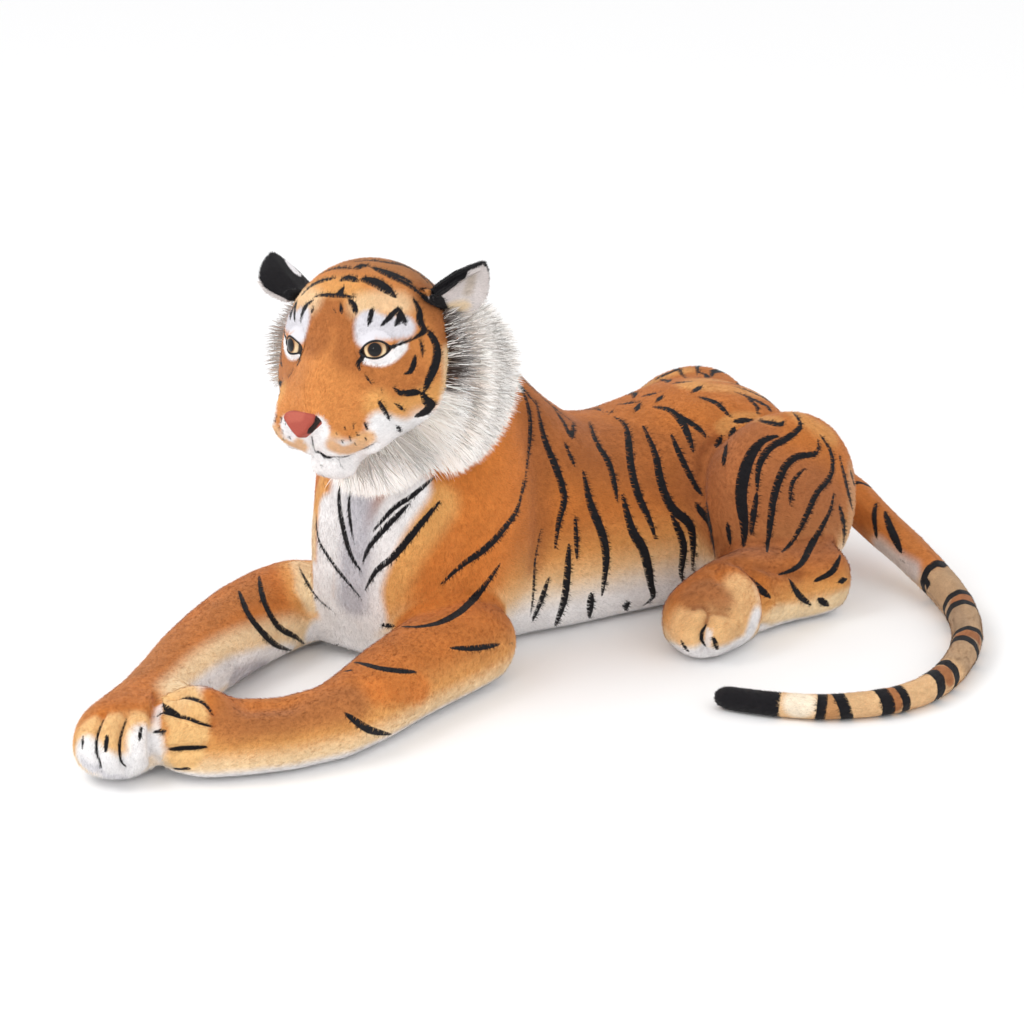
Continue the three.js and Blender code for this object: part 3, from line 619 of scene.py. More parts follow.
BODY_TONES = [
    # Painted light: a brighter orange on the shoulders and on the near foreleg
    (LIT_ORANGE, 30, 50, 0.9, BOTH_SHOULDERS, [(500, 440), (490, 520), (455, 580)]),
    (LIT_ORANGE, 9, 16, 0.9, BOTH_SHOULDERS, [(375, 690), (420, 688)]),
    # Painted shade: darker rust over the flanks and behind the shoulders, a darker haunch, and rust along
    # the haunch's front seam
    (RUST_AND_SHADE, 26, 50, 0.75, BOTH_FLANKS, [(545, 430), (620, 450), (690, 470)]),
    (RUST_AND_SHADE, 8, 24, 0.5, BOTH_SHOULDERS, [(532, 420), (540, 500), (534, 560)]),
    ((0.38, 0.13, 0.045), 42, 40, 0.8, BOTH_FLANKS, [(735, 450), (738, 520), (785, 500), (815, 520)]),
    (RUST_AND_SHADE, 8, 24, 0.7, BOTH_FLANKS, [(707, 460), (708, 520), (724, 560)]),
    ((0.6, 0.33, 0.17), 6, 14, 0.7, BOTH_FLANKS, [(851, 470), (852, 510), (848, 545)]),
    (GOLD, 6, 18, 0.55, BOTH_FLANKS, [(690, 385), (760, 395), (830, 435)]),
    (GOLD, 5, 10, 0.6, BOTH_FLANKS, [(722, 428), (740, 418), (775, 420)]),
]

# White inside the far leg, gold toes, and the darker top of the near leg, with painted shade in lilac grey
# inside the far leg and along the far paw's bottom edge
FORELEG_TONES = [
    ((0.4, 0.14, 0.04), 10, 26, 0.8, ONE_SIDE, [(232, 722), (300, 712), (350, 700)]),
    ((0.45, 0.16, 0.04), 10, 24, 0.7, ONE_SIDE, [(140, 670), (190, 630), (250, 590)]),
    (CREAM, 14, 24, 0.9, ONE_SIDE, [(178, 700), (212, 668), (250, 648), (300, 636), (340, 628)]),
    (WHITE, 10, 14, 1, ONE_SIDE, [(185, 708), (220, 678), (255, 662), (300, 650), (350, 640)]),
    # Painted shade: lilac grey inside the far leg
    ((0.52, 0.5, 0.54), 7, 14, 0.9, ONE_SIDE, [(235, 678), (270, 664), (320, 652)]),
    ((0.8, 0.5, 0.22), 26, 12, 0.9, ONE_SIDE, [(95, 740), (135, 735)]),
    (WHITE, 14, 12, 1, ONE_SIDE, [(86, 754), (100, 766), (122, 772), (141, 760), (145, 742)]),
    # Painted shade along the far paw's bottom edge
    (PAINTED_SHADE_WHITE, 3, 8, 0.5, ONE_SIDE, [(84, 762), (100, 774), (125, 778)]),
    ((0.8, 0.49, 0.2), 17, 9, 0.95, ONE_SIDE, [(182, 706), (190, 728), (184, 752)]),
    (WHITE, 2, 7, 0.75, ONE_SIDE, [(159, 712), (157, 740), (161, 766), (180, 776)]),
]

# A gold ball of a paw with white toes, and an orange hock; painted shade darkens the creases between the
# toes and the fold under the thigh
FOOT_TONES = [
    ((0.84, 0.52, 0.24), 16, 20, 0.85, BOTH_FLANKS, [(742, 592), (748, 615), (715, 622), (685, 628)]),
    ((0.38, 0.14, 0.045), 9, 20, 0.85, BOTH_FLANKS, [(693, 594), (706, 588), (720, 598)]),
    ((0.86, 0.57, 0.32), 3, 8, 0.8, BOTH_FLANKS, [(757, 588), (760, 604)]),
    (
        WHITE, 8, 12, 1, BOTH_FLANKS,
        [(665, 641), (675, 649), (689, 653), (705, 655), (722, 651), (738, 645), (748, 638), (756, 618)],
    ),
    (WHITE, 2, 4, 0.8, BOTH_FLANKS, [(709, 632), (707, 645)]),
    # Painted shade: dark brown lines in the creases between the toes
    ((0.3, 0.1, 0.035), 1, 4, 0.7, BOTH_FLANKS, [(692, 607), (702, 605), (709, 612), (706, 625)]),
    ((0.4, 0.15, 0.05), 1, 3, 0.6, BOTH_FLANKS, [(709, 612), (720, 613), (730, 616)]),
    # Painted shade: rust in the fold under the thigh
    (RUST_AND_SHADE, 4, 12, 0.7, BOTH_FLANKS, [(738, 563), (760, 568), (800, 574)]),
    (CREAM, 6, 12, 0.9, BOTH_FLANKS, [(775, 614), (815, 610), (848, 596)]),
]

# The pale bib, edged in gold, with painted shade in lilac grey between the legs
CHEST_TONES = [
    (GOLD, 17, 24, 0.95, ONE_SIDE, [(318, 490), (303, 560), (318, 596), (340, 622)]),
    (GOLD, 12, 24, 0.9, ONE_SIDE, [(440, 505), (405, 550), (380, 600)]),
    (WHITE, 22, 14, 1, ONE_SIDE, [(352, 470), (345, 520), (350, 560), (352, 600)]),
    (WHITE, 15, 14, 1, ONE_SIDE, [(412, 488), (385, 530), (366, 580), (370, 612)]),
    (CREAM, 8, 12, 0.9, ONE_SIDE, [(313, 520), (312, 560), (306, 590)]),
    (WHITE, 14, 12, 1, ONE_SIDE, [(328, 510), (325, 560), (325, 600), (345, 622), (320, 634)]),
    (WHITE, 14, 12, 1, ONE_SIDE, [(368, 618), (352, 634), (330, 640)]),
    (CREAM, 7, 10, 0.9, ONE_SIDE, [(300, 563), (306, 585), (314, 604)]),
    (WHITE, 7, 9, 1, ONE_SIDE, [(315, 570), (318, 596), (325, 615)]),
    # Painted shade: lilac grey down the chest between the legs
    (PAINTED_SHADE_WHITE, 10, 24, 0.85, ONE_SIDE, [(362, 500), (356, 540), (352, 600)]),
]

# Seams and fuller places: how far in or out, half width, sides and pixels
BODY_CREASES = [
    *((8, 4.6, ONE_SIDE, pixels) for _, pixels in PAW_LINES + FOOT_LINES),
    (9, 5, ONE_SIDE, [(158, 697), (153, 715), (152, 740), (153, 757), (158, 771)]),
    (5, 7, ONE_SIDE, [(720, 440), (706, 452), (702, 480), (704, 520), (712, 560), (720, 580)]),
    (9, 10, ONE_SIDE, [(748, 566), (762, 582), (768, 606), (764, 630)]),
    (5, 7, ONE_SIDE, [(735, 562), (757, 566), (790, 574), (830, 582)]),
    (9, 22, ONE_SIDE, [(250, 704), (268, 703), (284, 702)]),
    (11, 7, ONE_SIDE, [(703, 606), (709, 612), (706, 626), (701, 634), (701, 643), (706, 655)]),
    (7, 8, ONE_SIDE, [(688, 608), (700, 605), (709, 611), (720, 613), (732, 617)]),
]
BODY_BULGES = [
    *((3.5, 10, ONE_SIDE, [toe]) for toe in TOES),
    (17, 25, ONE_SIDE, [(172, 710), (182, 704), (196, 702), (208, 705)]),
    (5, 20, ONE_SIDE, [(683, 628), (688, 640)]),
    (5, 20, ONE_SIDE, [(726, 628), (722, 640)]),
]


# The body


def near_nodes(points, nodes):
    """Distance of points from some of the solids."""
    best = np.full(len(points), FAR)
    for node in nodes:
        tree = BVHTree.FromObject(solids[node], bpy.context.evaluated_depsgraph_get())
        low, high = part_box(node)
        reach = 60 * MM
        within = ((points > np.array(low) - reach) & (points < np.array(high) + reach)).all(1)
        for index in np.flatnonzero(within):
            found = tree.find_nearest(Vector(points[index]), reach)[3]
            if found is not None:
                best[index] = min(best[index], found)
    return best


SIDES = ("left", "right")
FORELEG_COVERS = ["foreleg_cover_" + side for side in SIDES]
FOOT_COVERS = ["hind_foot_cover_" + side for side in SIDES]
BODY_NODES = ["trunk_cover", "trunk_stuffing"] + [
    f"{limb}_{part}_{side}"
    for limb in ("shoulder", "foreleg", "haunch", "hind_foot")
    for part in ("cover", "stuffing")
    for side in SIDES
]
# Where the belly's tints end on the trunk, and how much lower on a limb: both in millimetres
BELLY_TINTS = [(GOLD, 0.9, 160, 78, 0.45), (CREAM, 0.85, 112, 62, 0.45), (WHITE, 1, 82, 58, 0.4)]


def body_coat():
    """One skin over the trunk, the shoulders and the legs, as they are sewn together."""
    skin = stuffed_skin("coat_body", BODY_NODES, voxel=either(4.2) * MM, rounds=36, swell=1.0 * MM)
    limbs = near_nodes(points_of(skin), FORELEG_COVERS + FOOT_COVERS)
    softened(skin, rounds=60, share=smooth_step(6 * MM, 24 * MM, limbs))
    rough = Coat(skin, ORANGE)
    body_stripes(rough)
    finer(skin, (rough.stripe < 3.5 * MM) & (rough.stripe > -4 * MM))
    coat = Coat(skin, ORANGE, fibres=either(185000))
    forelegs, feet = coat.near(FORELEG_COVERS), coat.near(FOOT_COVERS)
    limb = 1 - smooth_step(6 * MM, 16 * MM, np.minimum(forelegs, feet))
    for colour, strength, top, lower, soft in BELLY_TINTS:
        edge = (top - lower * limb) * MM
        coat.wash(colour, strength * (1 - smooth_step(edge * soft, edge, coat.points[:, 2])))
    coat.tones(BODY_TONES + FORELEG_TONES + FOOT_TONES + CHEST_TONES)
    body_stripes(coat)
    coat.done(BODY_CREASES, BODY_BULGES)
    dress(skin, pile_finish("body plush"), body="body", nodes=BODY_NODES)
    flow = body_flow(coat.points, forelegs, feet)
    brushed(coat, flow, "body", length=5 * MM, lift=1.7 * MM, width=1.1 * MM)


# How much wider than the photograph's stripes the printed ones are
LEG_GROWTH = 1.2
FLANK_GROWTH = 1.42


def body_stripes(coat):
    """All the body's dark marks. The hind feet are cleared of the flank's before their own."""
    front = CHEST_STRIPES + ELBOW_STRIPES + FORELEG_STRIPES + FAR_FORELEG_STRIPES
    coat.marks(front, grow=LEG_GROWTH, add=0.4)
    coat.marks(SHOULDER_STRIPES, grow=LEG_GROWTH, add=0.4, planes=BOTH_SHOULDERS)
    coat.marks(FLANK_STRIPES, grow=FLANK_GROWTH, add=0.6, planes=BOTH_FLANKS)
    back_stripes(coat)
    coat.stripe[coat.near(FOOT_COVERS) < 6 * MM] = FAR
    coat.marks(THIGH_STRIPES, grow=FLANK_GROWTH, add=0.6, planes=BOTH_FLANKS)
    coat.marks(PAW_LINES + FOOT_LINES, add=0.2, taper=0.5)
    coat.marks(PAW_DASHES + FOOT_DASHES, add=0.6, taper=0.3)


RUMP_TURNS = (-84, -62, -40, -17, 17, 40)
RUMP_MIDDLE = np.array((0, 160, 95)) * MM
RUMP_REACH = 230 * MM
RUMP_RISE = 200 * MM
WITHERS_ACROSS = 150 * MM
WITHERS_RISE = 220 * MM
WITHERS_DROP = 90 * MM
# How far behind the neck, in millimetres, and how far round, in degrees
WITHERS_BOWS = [(20, 46), (62, 58), (108, 50), (150, 62)]


def back_stripes(coat):
    """Stripes over the rump and the withers, which run down from the spine on both sides."""
    chance = np.random.default_rng(21)
    for turn in RUMP_TURNS:
        side = math.radians(turn)
        lean = chance.uniform(-0.12, 0.12)
        line = []
        for high in np.radians(np.linspace(76, 12, 9)):
            way = side + lean * math.sin(3 * high) + 0.1 * math.cos(5 * high)
            across = RUMP_REACH * math.cos(high)
            out = np.array((across * math.sin(way), across * math.cos(way), RUMP_RISE * math.sin(high)))
            line.append(RUMP_MIDDLE + out)
        coat.mark_places(chance.uniform(4.2, 6.2), np.array(line))
    withers = neck_point + (0, 60 * MM, 0)
    for back, reach in WITHERS_BOWS:
        for turn in (-1, 1):
            line = []
            for share in np.linspace(0.12, 1, 7):
                side = math.radians(reach) * share
                place = withers - front_ahead * (back + 26 * share + 6 * math.sin(7 * share)) * MM
                place = place + front_across * turn * WITHERS_ACROSS * math.sin(side)
                line.append(place + np.array((0, 0, WITHERS_RISE * math.cos(side) - WITHERS_DROP)))
            coat.mark_places(4.2, np.array(line))


def finer(piece, chosen):
    """Cuts the faces at the chosen points in four."""
    alone(piece)
    bpy.ops.object.mode_set(mode="EDIT")
    bpy.ops.mesh.select_mode(type="VERT")
    bpy.ops.mesh.select_all(action="DESELECT")
    bpy.ops.object.mode_set(mode="OBJECT")
    piece.data.vertices.foreach_set("select", chosen)
    bpy.ops.object.mode_set(mode="EDIT")
    bpy.ops.mesh.select_more()
    bpy.ops.mesh.subdivide(number_cuts=1, smoothness=0.6)
    bpy.ops.object.mode_set(mode="OBJECT")
    piece.data.shade_smooth()


def body_flow(points, forelegs, feet):
    """The pile runs back and down the trunk, down the chest and out along the legs."""
    back = np.array((0.0, 1.0, -0.45))
    down = np.array((0.15, -0.25, -1.0))
    chest = 1 - smooth_step(-320 * MM, -180 * MM, points[:, 1])
    flow = back + (down - back) * chest[:, None]
    for side in SIDES:
        shoulder = np.array(middle_of("shoulder_cover_" + side))
        own = np.linalg.norm(points - shoulder, axis=1) < 520 * MM
        on_leg = (1 - smooth_step(4 * MM, 30 * MM, forelegs)) * own * (points[:, 1] < shoulder[1] + 60 * MM)
        nearer = (points[:, 0] > 0) == (side == "left")
        flow += (unit(points - shoulder) - flow) * (on_leg * nearer)[:, None]
    on_foot = 1 - smooth_step(4 * MM, 20 * MM, feet)
    return flow + (np.array((0.0, -1.0, -0.2)) - flow) * on_foot[:, None]


def brushed(coat, flow, ride, length, lift, width):
    """The pile of a coat, as a piece of its own on the same part of the toy."""
    fibres = coat.pile(flow, length, lift, width)
    fibres.data.materials.append(fibre_finish())
    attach(fibres, ride)


def fibre_finish():
    """One finish for all the fibres, which carry their own tints."""
    made = bpy.data.materials.get("plush fibres")
    if made is None:
        finish = Finish("plush fibres", roughness=0.85, sheen_weight=0.08, specular_ior_level=0.25)
        finish.feed("Base Color", finish.attribute("tint", "Color"))
        made = finish.material
    return made


# Finishes


class Value:
    """A socket that Python's own operators work on."""

    def __init__(self, finish, socket):
        self.finish = finish
        self.socket = socket

    def maths(self, operation, first, second):
        return self.finish.node("ShaderNodeMath", {"operation": operation}, {0: first, 1: second})

    def __add__(self, other):
        return self.maths("ADD", self, other)

    __radd__ = __add__

    def __mul__(self, other):
        return self.maths("MULTIPLY", self, other)

    __rmul__ = __mul__

    def __sub__(self, other):
        return self.maths("SUBTRACT", self, other)

    def __rsub__(self, other):
        return self.maths("SUBTRACT", other, self)


class Finish:
    """A material, made node by node."""

    def __init__(self, name, **plain):
        self.material = bpy.data.materials.new(name)
        self.material.use_nodes = True
        self.nodes = self.material.node_tree.nodes
        self.links = self.material.node_tree.links
        self.shader = next(n for n in self.nodes if n.type == "BSDF_PRINCIPLED")
        for socket, value in plain.items():
            label = socket.replace("_", " ").title().replace("Ior", "IOR")
            self.shader.inputs[label].default_value = value

    def node(self, kind, settings=None, sockets=None, output=0):
        made = self.nodes.new(kind)
        for name, value in (settings or {}).items():
            setattr(made, name, value)
        for name, value in (sockets or {}).items():
            self.join(made.inputs[name], value)
        return Value(self, made.outputs[output])

    def join(self, socket, value):
        if isinstance(value, Value):
            self.links.new(value.socket, socket)
        else:
            socket.default_value = value

    def feed(self, socket, value):
        self.join(self.shader.inputs[socket], value)

    def attribute(self, name, output="Fac"):
        return self.node("ShaderNodeAttribute", {"attribute_name": name}, output=output)

    def noise(self, size, detail=2.0, roughness=0.5):
        """Noise from 0 to 1 whose lumps are about as large as the size."""
        place = self.node("ShaderNodeTexCoord", output="Object")
        sockets = {"Vector": place, "Scale": 1 / size, "Detail": detail, "Roughness": roughness}
        return self.node("ShaderNodeTexNoise", None, sockets)

    def ramp(self, value, low, high, start=0.0, end=1.0):
        settings = {"interpolation_type": "SMOOTHSTEP"}
        sockets = {"Value": value, "From Min": low, "From Max": high, "To Min": start, "To Max": end}
        return self.node("ShaderNodeMapRange", settings, sockets)

    def mixed(self, share, first, second, blend="MIX"):
        def opaque(colour):
            return colour if isinstance(colour, Value) else (*colour, 1.0)

        settings = {"data_type": "RGBA", "blend_type": blend}
        return self.node("ShaderNodeMix", settings, {0: share, 6: opaque(first), 7: opaque(second)}, 2)

    def grey(self, value):
        return self.node("ShaderNodeCombineColor", None, {0: value, 1: value, 2: value})

    def bumped(self, height, depth):
        normal = self.node("ShaderNodeBump", None, {"Height": height, "Distance": depth})
        self.feed("Normal", normal)


def pile_finish(name, depth=0.5):
    """Brushed plush: the tint, ragged stripes, fine pile and the way it lies."""
    finish = Finish(name, roughness=0.85, sheen_weight=0.1, sheen_roughness=0.5, specular_ior_level=0.25)
    fibres = finish.noise(1.3 * MM, 3.0, 0.65)
    tufts = finish.noise(4.5 * MM, 2.0)
    strokes = finish.noise(38 * MM, 2.0)
    ragged = finish.attribute("stripe") + (fibres - 0.5) * 1.6 + (tufts - 0.5) * 1.2
    stripe = finish.ramp(ragged, 0.7, -0.7)
    tint = finish.attribute("tint", "Color")
    shade = finish.ramp(fibres, 0.2, 0.8, 0.86, 1.12) * finish.ramp(tufts, 0.2, 0.8, 0.93, 1.07)
    shade = shade * finish.ramp(strokes, 0.25, 0.75, 0.9, 1.08)
    coat = finish.mixed(1.0, tint, finish.grey(shade), "MULTIPLY")
    finish.feed("Base Color", finish.mixed(stripe, coat, INK))
    finish.bumped(fibres + tufts * 0.6, depth * MM)
    return finish.material


# Floor and light


def lit_floor():
    """A wide white floor under even light, two soft lamps, and a small one for the near eye's glint."""
    bpy.ops.object.select_all(action="DESELECT")
    bpy.ops.mesh.primitive_plane_add(size=300)
    floor = bpy.context.view_layer.objects.active
    floor.name = "floor"
    paper = Finish("white paper", roughness=0.9)
    fibre = paper.noise(2 * MM)
    paper.feed("Base Color", paper.mixed(fibre, (0.93, 0.93, 0.935), (0.95, 0.95, 0.95)))
    floor.data.materials.append(paper.material)
    world = bpy.data.worlds.new("studio")
    world.use_nodes = True
    world.node_tree.nodes["Background"].inputs["Color"].default_value = (1, 1, 1, 1)
    world.node_tree.nodes["Background"].inputs["Strength"].default_value = 1.02
    bpy.context.scene.world = world
    eye, across, up, out = eye_frame("left")
    glossy = unit(out + 0.12 * up - 0.1 * across)
    mirror = 2 * (glossy @ np.array(view_back)) * glossy - np.array(view_back)
    for name, place, aim, width, power in [
        ("window", (-0.4, -2.4, 2.8), (0.1, -0.2, 0.2), 1.6, 34),
        ("glint", tuple(eye + mirror * 2.4), tuple(eye), 0.13, 4),
        ("side lamp", (3.0, 0.6, 1.8), (0.1, 0, 0.15), 2.0, 6),
    ]:
        light = bpy.data.lights.new(name, "AREA")
        light.shape = "SQUARE"
        light.size = width
        light.energy = power
        lamp = bpy.data.objects.new(name, light)
        lamp.location = place
        aimed = Vector(place) - Vector(aim)
        lamp.rotation_euler = aimed.to_track_quat("Z", "Y").to_euler()
        bpy.context.scene.collection.objects.link(lamp)
    bpy.context.scene.view_settings.view_transform = "Standard"


# The head

CROWN_STRIPES = [
    (2.2, [(353, 262), (370, 260.5), (386, 262.5), (404, 266), (419, 274), (429, 284)]),
    (3.6, [(355, 269), (362, 266), (369, 266)]),
    (1.8, [(353, 269), (339, 268), (327, 271), (316, 277)]),
    (2.2, [(370, 267), (385, 271), (403, 278), (413, 284)]),
    (2.4, [(372, 268), (391, 277), (408, 285), (425, 298)]),
    (3.0, [(340, 281), (347, 278), (355, 280), (358, 282)]),
    (2.2, [(336, 278), (322, 281), (311, 286), (301, 296)]),
    (4.6, [(361, 279), (374, 282), (383, 287), (391, 293), (395, 297)]),
    (2.8, [(344, 287), (340, 293), (335, 296)]),
    (1.6, [(314, 297), (324, 295), (339, 296), (356, 297)]),
    (1.8, [(314, 300), (307, 305), (304, 313)]),
    (2.4, [(348, 299), (354, 306), (356, 315)]),
    (1.4, [(314, 307), (311, 314)]),
    (1.4, [(333, 309), (336, 313)]),
    (1.5, [(340, 304), (342, 314)]),
]
FACE_STRIPES = [
    (2.4, [(372, 308), (370.5, 316), (368, 327)]),
    (2.4, [(398, 307.5), (389, 318), (380.6, 326.6)]),
    (3.2, [(398, 307.5), (402, 317), (405.7, 325)]),
    (2.8, [(397, 312), (399, 319), (395, 326)]),
    (3.6, [(413, 299), (419, 310), (420, 322), (424, 329.5), (419, 335.6), (413, 339.4)]),
    (5.0, [(424, 330), (431, 335), (437, 348.6), (435.5, 364), (429, 379), (424, 392)]),
    (3.2, [(404.5, 395), (412, 392.6), (421, 392.6)]),
    (4.8, [(421.7, 392.6), (425.6, 400), (431, 405.6), (426.5, 411), (415, 416.5)]),
    (1.6, [(419, 339), (421.7, 346.7), (422.7, 358)]),
    (2.8, [(415, 355), (413.7, 364), (410, 372), (403.6, 374.4)]),
    (2.6, [(393, 387), (400.7, 393.6), (411, 392), (419, 391.7)]),
    (2.6, [(378, 400), (382.5, 408), (389.6, 420)]),
    (1.9, [(394, 403), (399.7, 407), (405, 411.4)]),
    (2.4, [(396, 425.5), (400.7, 432.4)]),
    (1.0, [(364.4, 373.5), (368, 379.6), (372.4, 385)]),
    (1.0, [(380.6, 388.8), (382, 393)]),
]
FRECKLES = [
    (1.7, [(364.4, 422.8), (366.7, 429)]),
    (1.2, [(353, 423.6), (354, 428.6)]),
    (1.2, [(344.8, 426.7), (345.8, 429)]),
    (1.2, [(349.8, 435), (351, 440)]),
    (1.1, [(356.7, 432.4), (357.8, 436.2)]),
    (1.1, [(342.4, 439.5), (343.3, 442)]),
    (1.0, [(336.6, 432.8), (337.6, 434.3)]),
    (1.0, [(365.3, 437.6), (366.3, 440.4)]),
    (1.0, [(354.8, 442.4), (355.9, 445)]),
]
CHIN_SPOTS = [
    (1.2, [(315.6, 465.7), (316.5, 467.6)]),
    (1.5, [(321.3, 462), (323.8, 463)]),
    (1.2, [(325, 467.8), (326.5, 469)]),
    (1.1, [(339.5, 462), (340.6, 463.8)]),
    (1.1, [(317.5, 468.2), (318.2, 469.1)]),
]
LIP_SPLIT = [(310, 438.5), (311.6, 448), (313.5, 454)]
LIP = [(311, 457.7), (313.5, 454), (318.4, 453.5), (324, 457.7), (333.7, 459.6)]
MOUTH = [(333.7, 459.6), (347, 458.8), (359.6, 454), (370, 449), (377, 446)]
EYE_AND_LIP_LINES = [
    (3, 0.2, BOTH_CHEEKS, [(364.5, 354.2), (369, 352.3)]),
    (3, 0.2, BOTH_CHEEKS, [(388, 348), (394, 346.3)]),
    (3.2, 0.1, BOTH_CHEEKS, [(361.5, 351.5), (363, 356)]),
    (2.9, 0.6, BOTH_CHEEKS, [(366, 353.4), (361.5, 358.6), (357.3, 364), (359.6, 370)]),
    (1.7, 0.4, BOTH_CHEEKS, [(392, 347), (402.6, 343.3), (413, 339.4)]),
    (1.1, 0.2, ONE_SIDE, LIP_SPLIT),
    (2.4, 0.5, ONE_SIDE, LIP),
    (1.3, 0.3, BOTH_CHEEKS, MOUTH),
]
FACE_TONES = [
    (BROWN, 8, 34, 0.4, ONE_SIDE, [(355, 262), (393, 266), (422, 280)]),
    (RUST_AND_SHADE, 14, 22, 0.75, ONE_SIDE, [(316, 337), (322, 314), (347, 312), (354, 337), (353, 352)]),
    (RUST_AND_SHADE, 8, 20, 0.7, BOTH_CHEEKS, [(424, 293), (435, 310), (444, 329)]),
    (RUST_AND_SHADE, 10, 26, 0.55, BOTH_CHEEKS, [(378, 375), (403, 368), (412, 383)]),
    (RUST_AND_SHADE, 5, 16, 0.5, BOTH_CHEEKS, [(410, 398), (418, 404)]),
    (GOLD, 5, 18, 0.7, ONE_SIDE, [(303, 293), (324, 287), (347, 288), (362, 303)]),
    (CREAM, 5, 20, 0.65, BOTH_CHEEKS, [(362, 306), (378, 303), (400, 304)]),
    (GOLD, 8, 18, 0.8, BOTH_CHEEKS, [(378, 405), (395, 415), (440, 395)]),
    # Painted shade: lilac grey over the white brows
    ((0.7, 0.68, 0.72), 9, 8, 1, BOTH_CHEEKS, [(366, 336), (367, 322), (385, 328), (404, 327)]),
    (WHITE, 4.2, 4.5, 1, BOTH_CHEEKS, [(367, 359), (381, 361), (393, 356), (402, 347)]),
    (CREAM, 3, 14, 0.85, BOTH_CHEEKS, [(448, 355), (448.5, 381), (446, 400)]),
    (
        WHITE, 9, 12, 1, BOTH_CHEEKS,
        [(380, 425), (392, 430), (403, 432), (422, 426), (440, 416), (449, 400)],
    ),
    (WHITE, 14, 12, 1, BOTH_CHEEKS, [(374, 446), (393, 442), (412, 438), (431, 430)]),
    (WHITE, 10, 9, 1, BOTH_CHEEKS, [(365, 461), (385, 456), (405, 449), (425, 443), (440, 430)]),
    (GOLD, 7, 9, 0.8, BOTH_CHEEKS, [(335, 441), (347, 449), (362, 443)]),
    (WHITE, 6, 6, 1, BOTH_CHEEKS, [(318, 424), (322, 431), (316, 440)]),
    (WHITE, 6, 6, 1, ONE_SIDE, [(286, 424), (290, 431), (299, 438), (306, 443)]),
    ((0.72, 0.7, 0.76), 13, 5, 1, BOTH_CHEEKS, [(314, 466), (332, 470), (355, 466), (374, 458)]),
    ((0.86, 0.84, 0.83), 8, 8, 0.9, BOTH_CHEEKS, [(335, 472), (355, 468), (374, 460)]),
    (
        (0.78, 0.75, 0.78), 5, 3, 1, BOTH_CHEEKS,
        [(322, 465), (336, 467), (350, 465), (364, 460), (378, 453)],
    ),
]
LIP_TONES = [
    ((0.76, 0.42, 0.17), 5, 7, 0.85, BOTH_CHEEKS, [(333, 446), (345, 450), (358, 446), (368, 438)]),
    ((0.8, 0.5, 0.24), 3, 6, 0.7, ONE_SIDE, [(284, 441), (292, 449), (303, 452)]),
]
HEAD_CREASES = [
    (4.5, 3.2, ONE_SIDE, LIP_SPLIT),
    (5, 3.4, ONE_SIDE, LIP),
    (6, 3.6, BOTH_CHEEKS, MOUTH),
    (3, 16, BOTH_CHEEKS, [(372, 350), (366, 352)]),
]
HEAD_BULGES = [
    (2.5, 14, BOTH_CHEEKS, [(345, 435)]),
    (9, 13, ONE_SIDE, [(320, 466), (336, 471), (356, 466)]),
]
# How high, how far round and how wide: degrees, degrees and millimetres
NAPE_BOWS = [(66, 50, 3.4), (46, 62, 4.4), (26, 52, 3.6), (6, 58, 4.2)]


def nape_stripes(coat):
    """Bows over the back of the head, between the ears and the neck."""
    nape = head_middle - head_ahead * 60 * MM
    for high, reach, half in NAPE_BOWS:
        for turn in (-1, 1):
            line = []
            for share in np.linspace(0.08, 1, 7):
                side, rise = math.radians(reach) * share, math.radians(high - 16 * share * share)
                flat = -head_ahead * math.cos(side) + head_across * turn * math.sin(side)
                line.append(nape + 110 * MM * (flat * math.cos(rise) + np.array((0, 0, math.sin(rise)))))
            coat.mark_places(half, np.array(line))


def head_coat():
    """The face, with its lips and the corners of its eyes, over the head's two solids."""
    nodes = ["head_cover", "head_stuffing"]
    skin = stuffed_skin("coat_head", nodes, voxel=either(2) * MM, rounds=either(110), swell=0.2 * MM)
    coat = Coat(skin, FACE_ORANGE, fibres=either(60000))
    behind = -(coat.points - head_middle) @ head_ahead
    coat.wash(BROWN, 0.55 * smooth_step(40 * MM, 150 * MM, behind))
    coat.tones(FACE_TONES)
    low = smooth_step(-50 * MM, -75 * MM, coat.points[:, 2] - head_middle[2])
    coat.wash(WHITE, smooth_step(0.1, -0.4, coat.normals[:, 2]) * low)
    coat.tones(LIP_TONES)
    coat.marks(CROWN_STRIPES + CHIN_SPOTS, grow=1.45, add=0.4)
    coat.marks(FACE_STRIPES, grow=1.15, add=0.3, planes=BOTH_CHEEKS)
    coat.marks(FRECKLES, taper=0.2, planes=BOTH_CHEEKS)
    coat.lines(EYE_AND_LIP_LINES)
    nape_stripes(coat)
    coat.done(HEAD_CREASES, HEAD_BULGES)
    dress(skin, pile_finish("head plush", 0.4), body="head", nodes=nodes)
    flow = coat.points - np.array(middle_of("nose")) + (0, 0, 20 * MM)
    brushed(coat, flow, "head", length=4.2 * MM, lift=1.3 * MM, width=0.8 * MM)
    return coat


# Eyes

EYE_RADIUS = 15 * MM
DOME_HEIGHT = 8 * MM
# How far the eye runs back into the head behind its rim
EYE_BACK = 2.6 * MM
DOME_BALL = (EYE_RADIUS**2 + DOME_HEIGHT**2) / (2 * DOME_HEIGHT)
PUPIL = 7.6
IRIS = 13.0


def dome_height(radius):
    return np.sqrt(np.maximum(DOME_BALL**2 - radius**2, 0)) - (DOME_BALL - DOME_HEIGHT)


def eye_frame(side):
    """Middle of the dome's rim, then the eye's axes: towards the outer corner, up and out."""
    points = points_of(solids["eye_" + side])
    shank = points_of(solids["eye_washer_" + side]).mean(0)
    out = unit(points.mean(0) - shank)
    off_shank = points - shank
    off_shank = off_shank - (off_shank @ out)[:, None] * out
    rim = points[np.argmax(np.linalg.norm(off_shank, axis=1))]
    middle = shank + out * ((rim - shank) @ out)
    turn = 1 if side == "left" else -1
    across = head_across * turn
    across = unit(across - (across @ out) * out)
    up = np.cross(out, across) * turn
    return middle, across, up, out


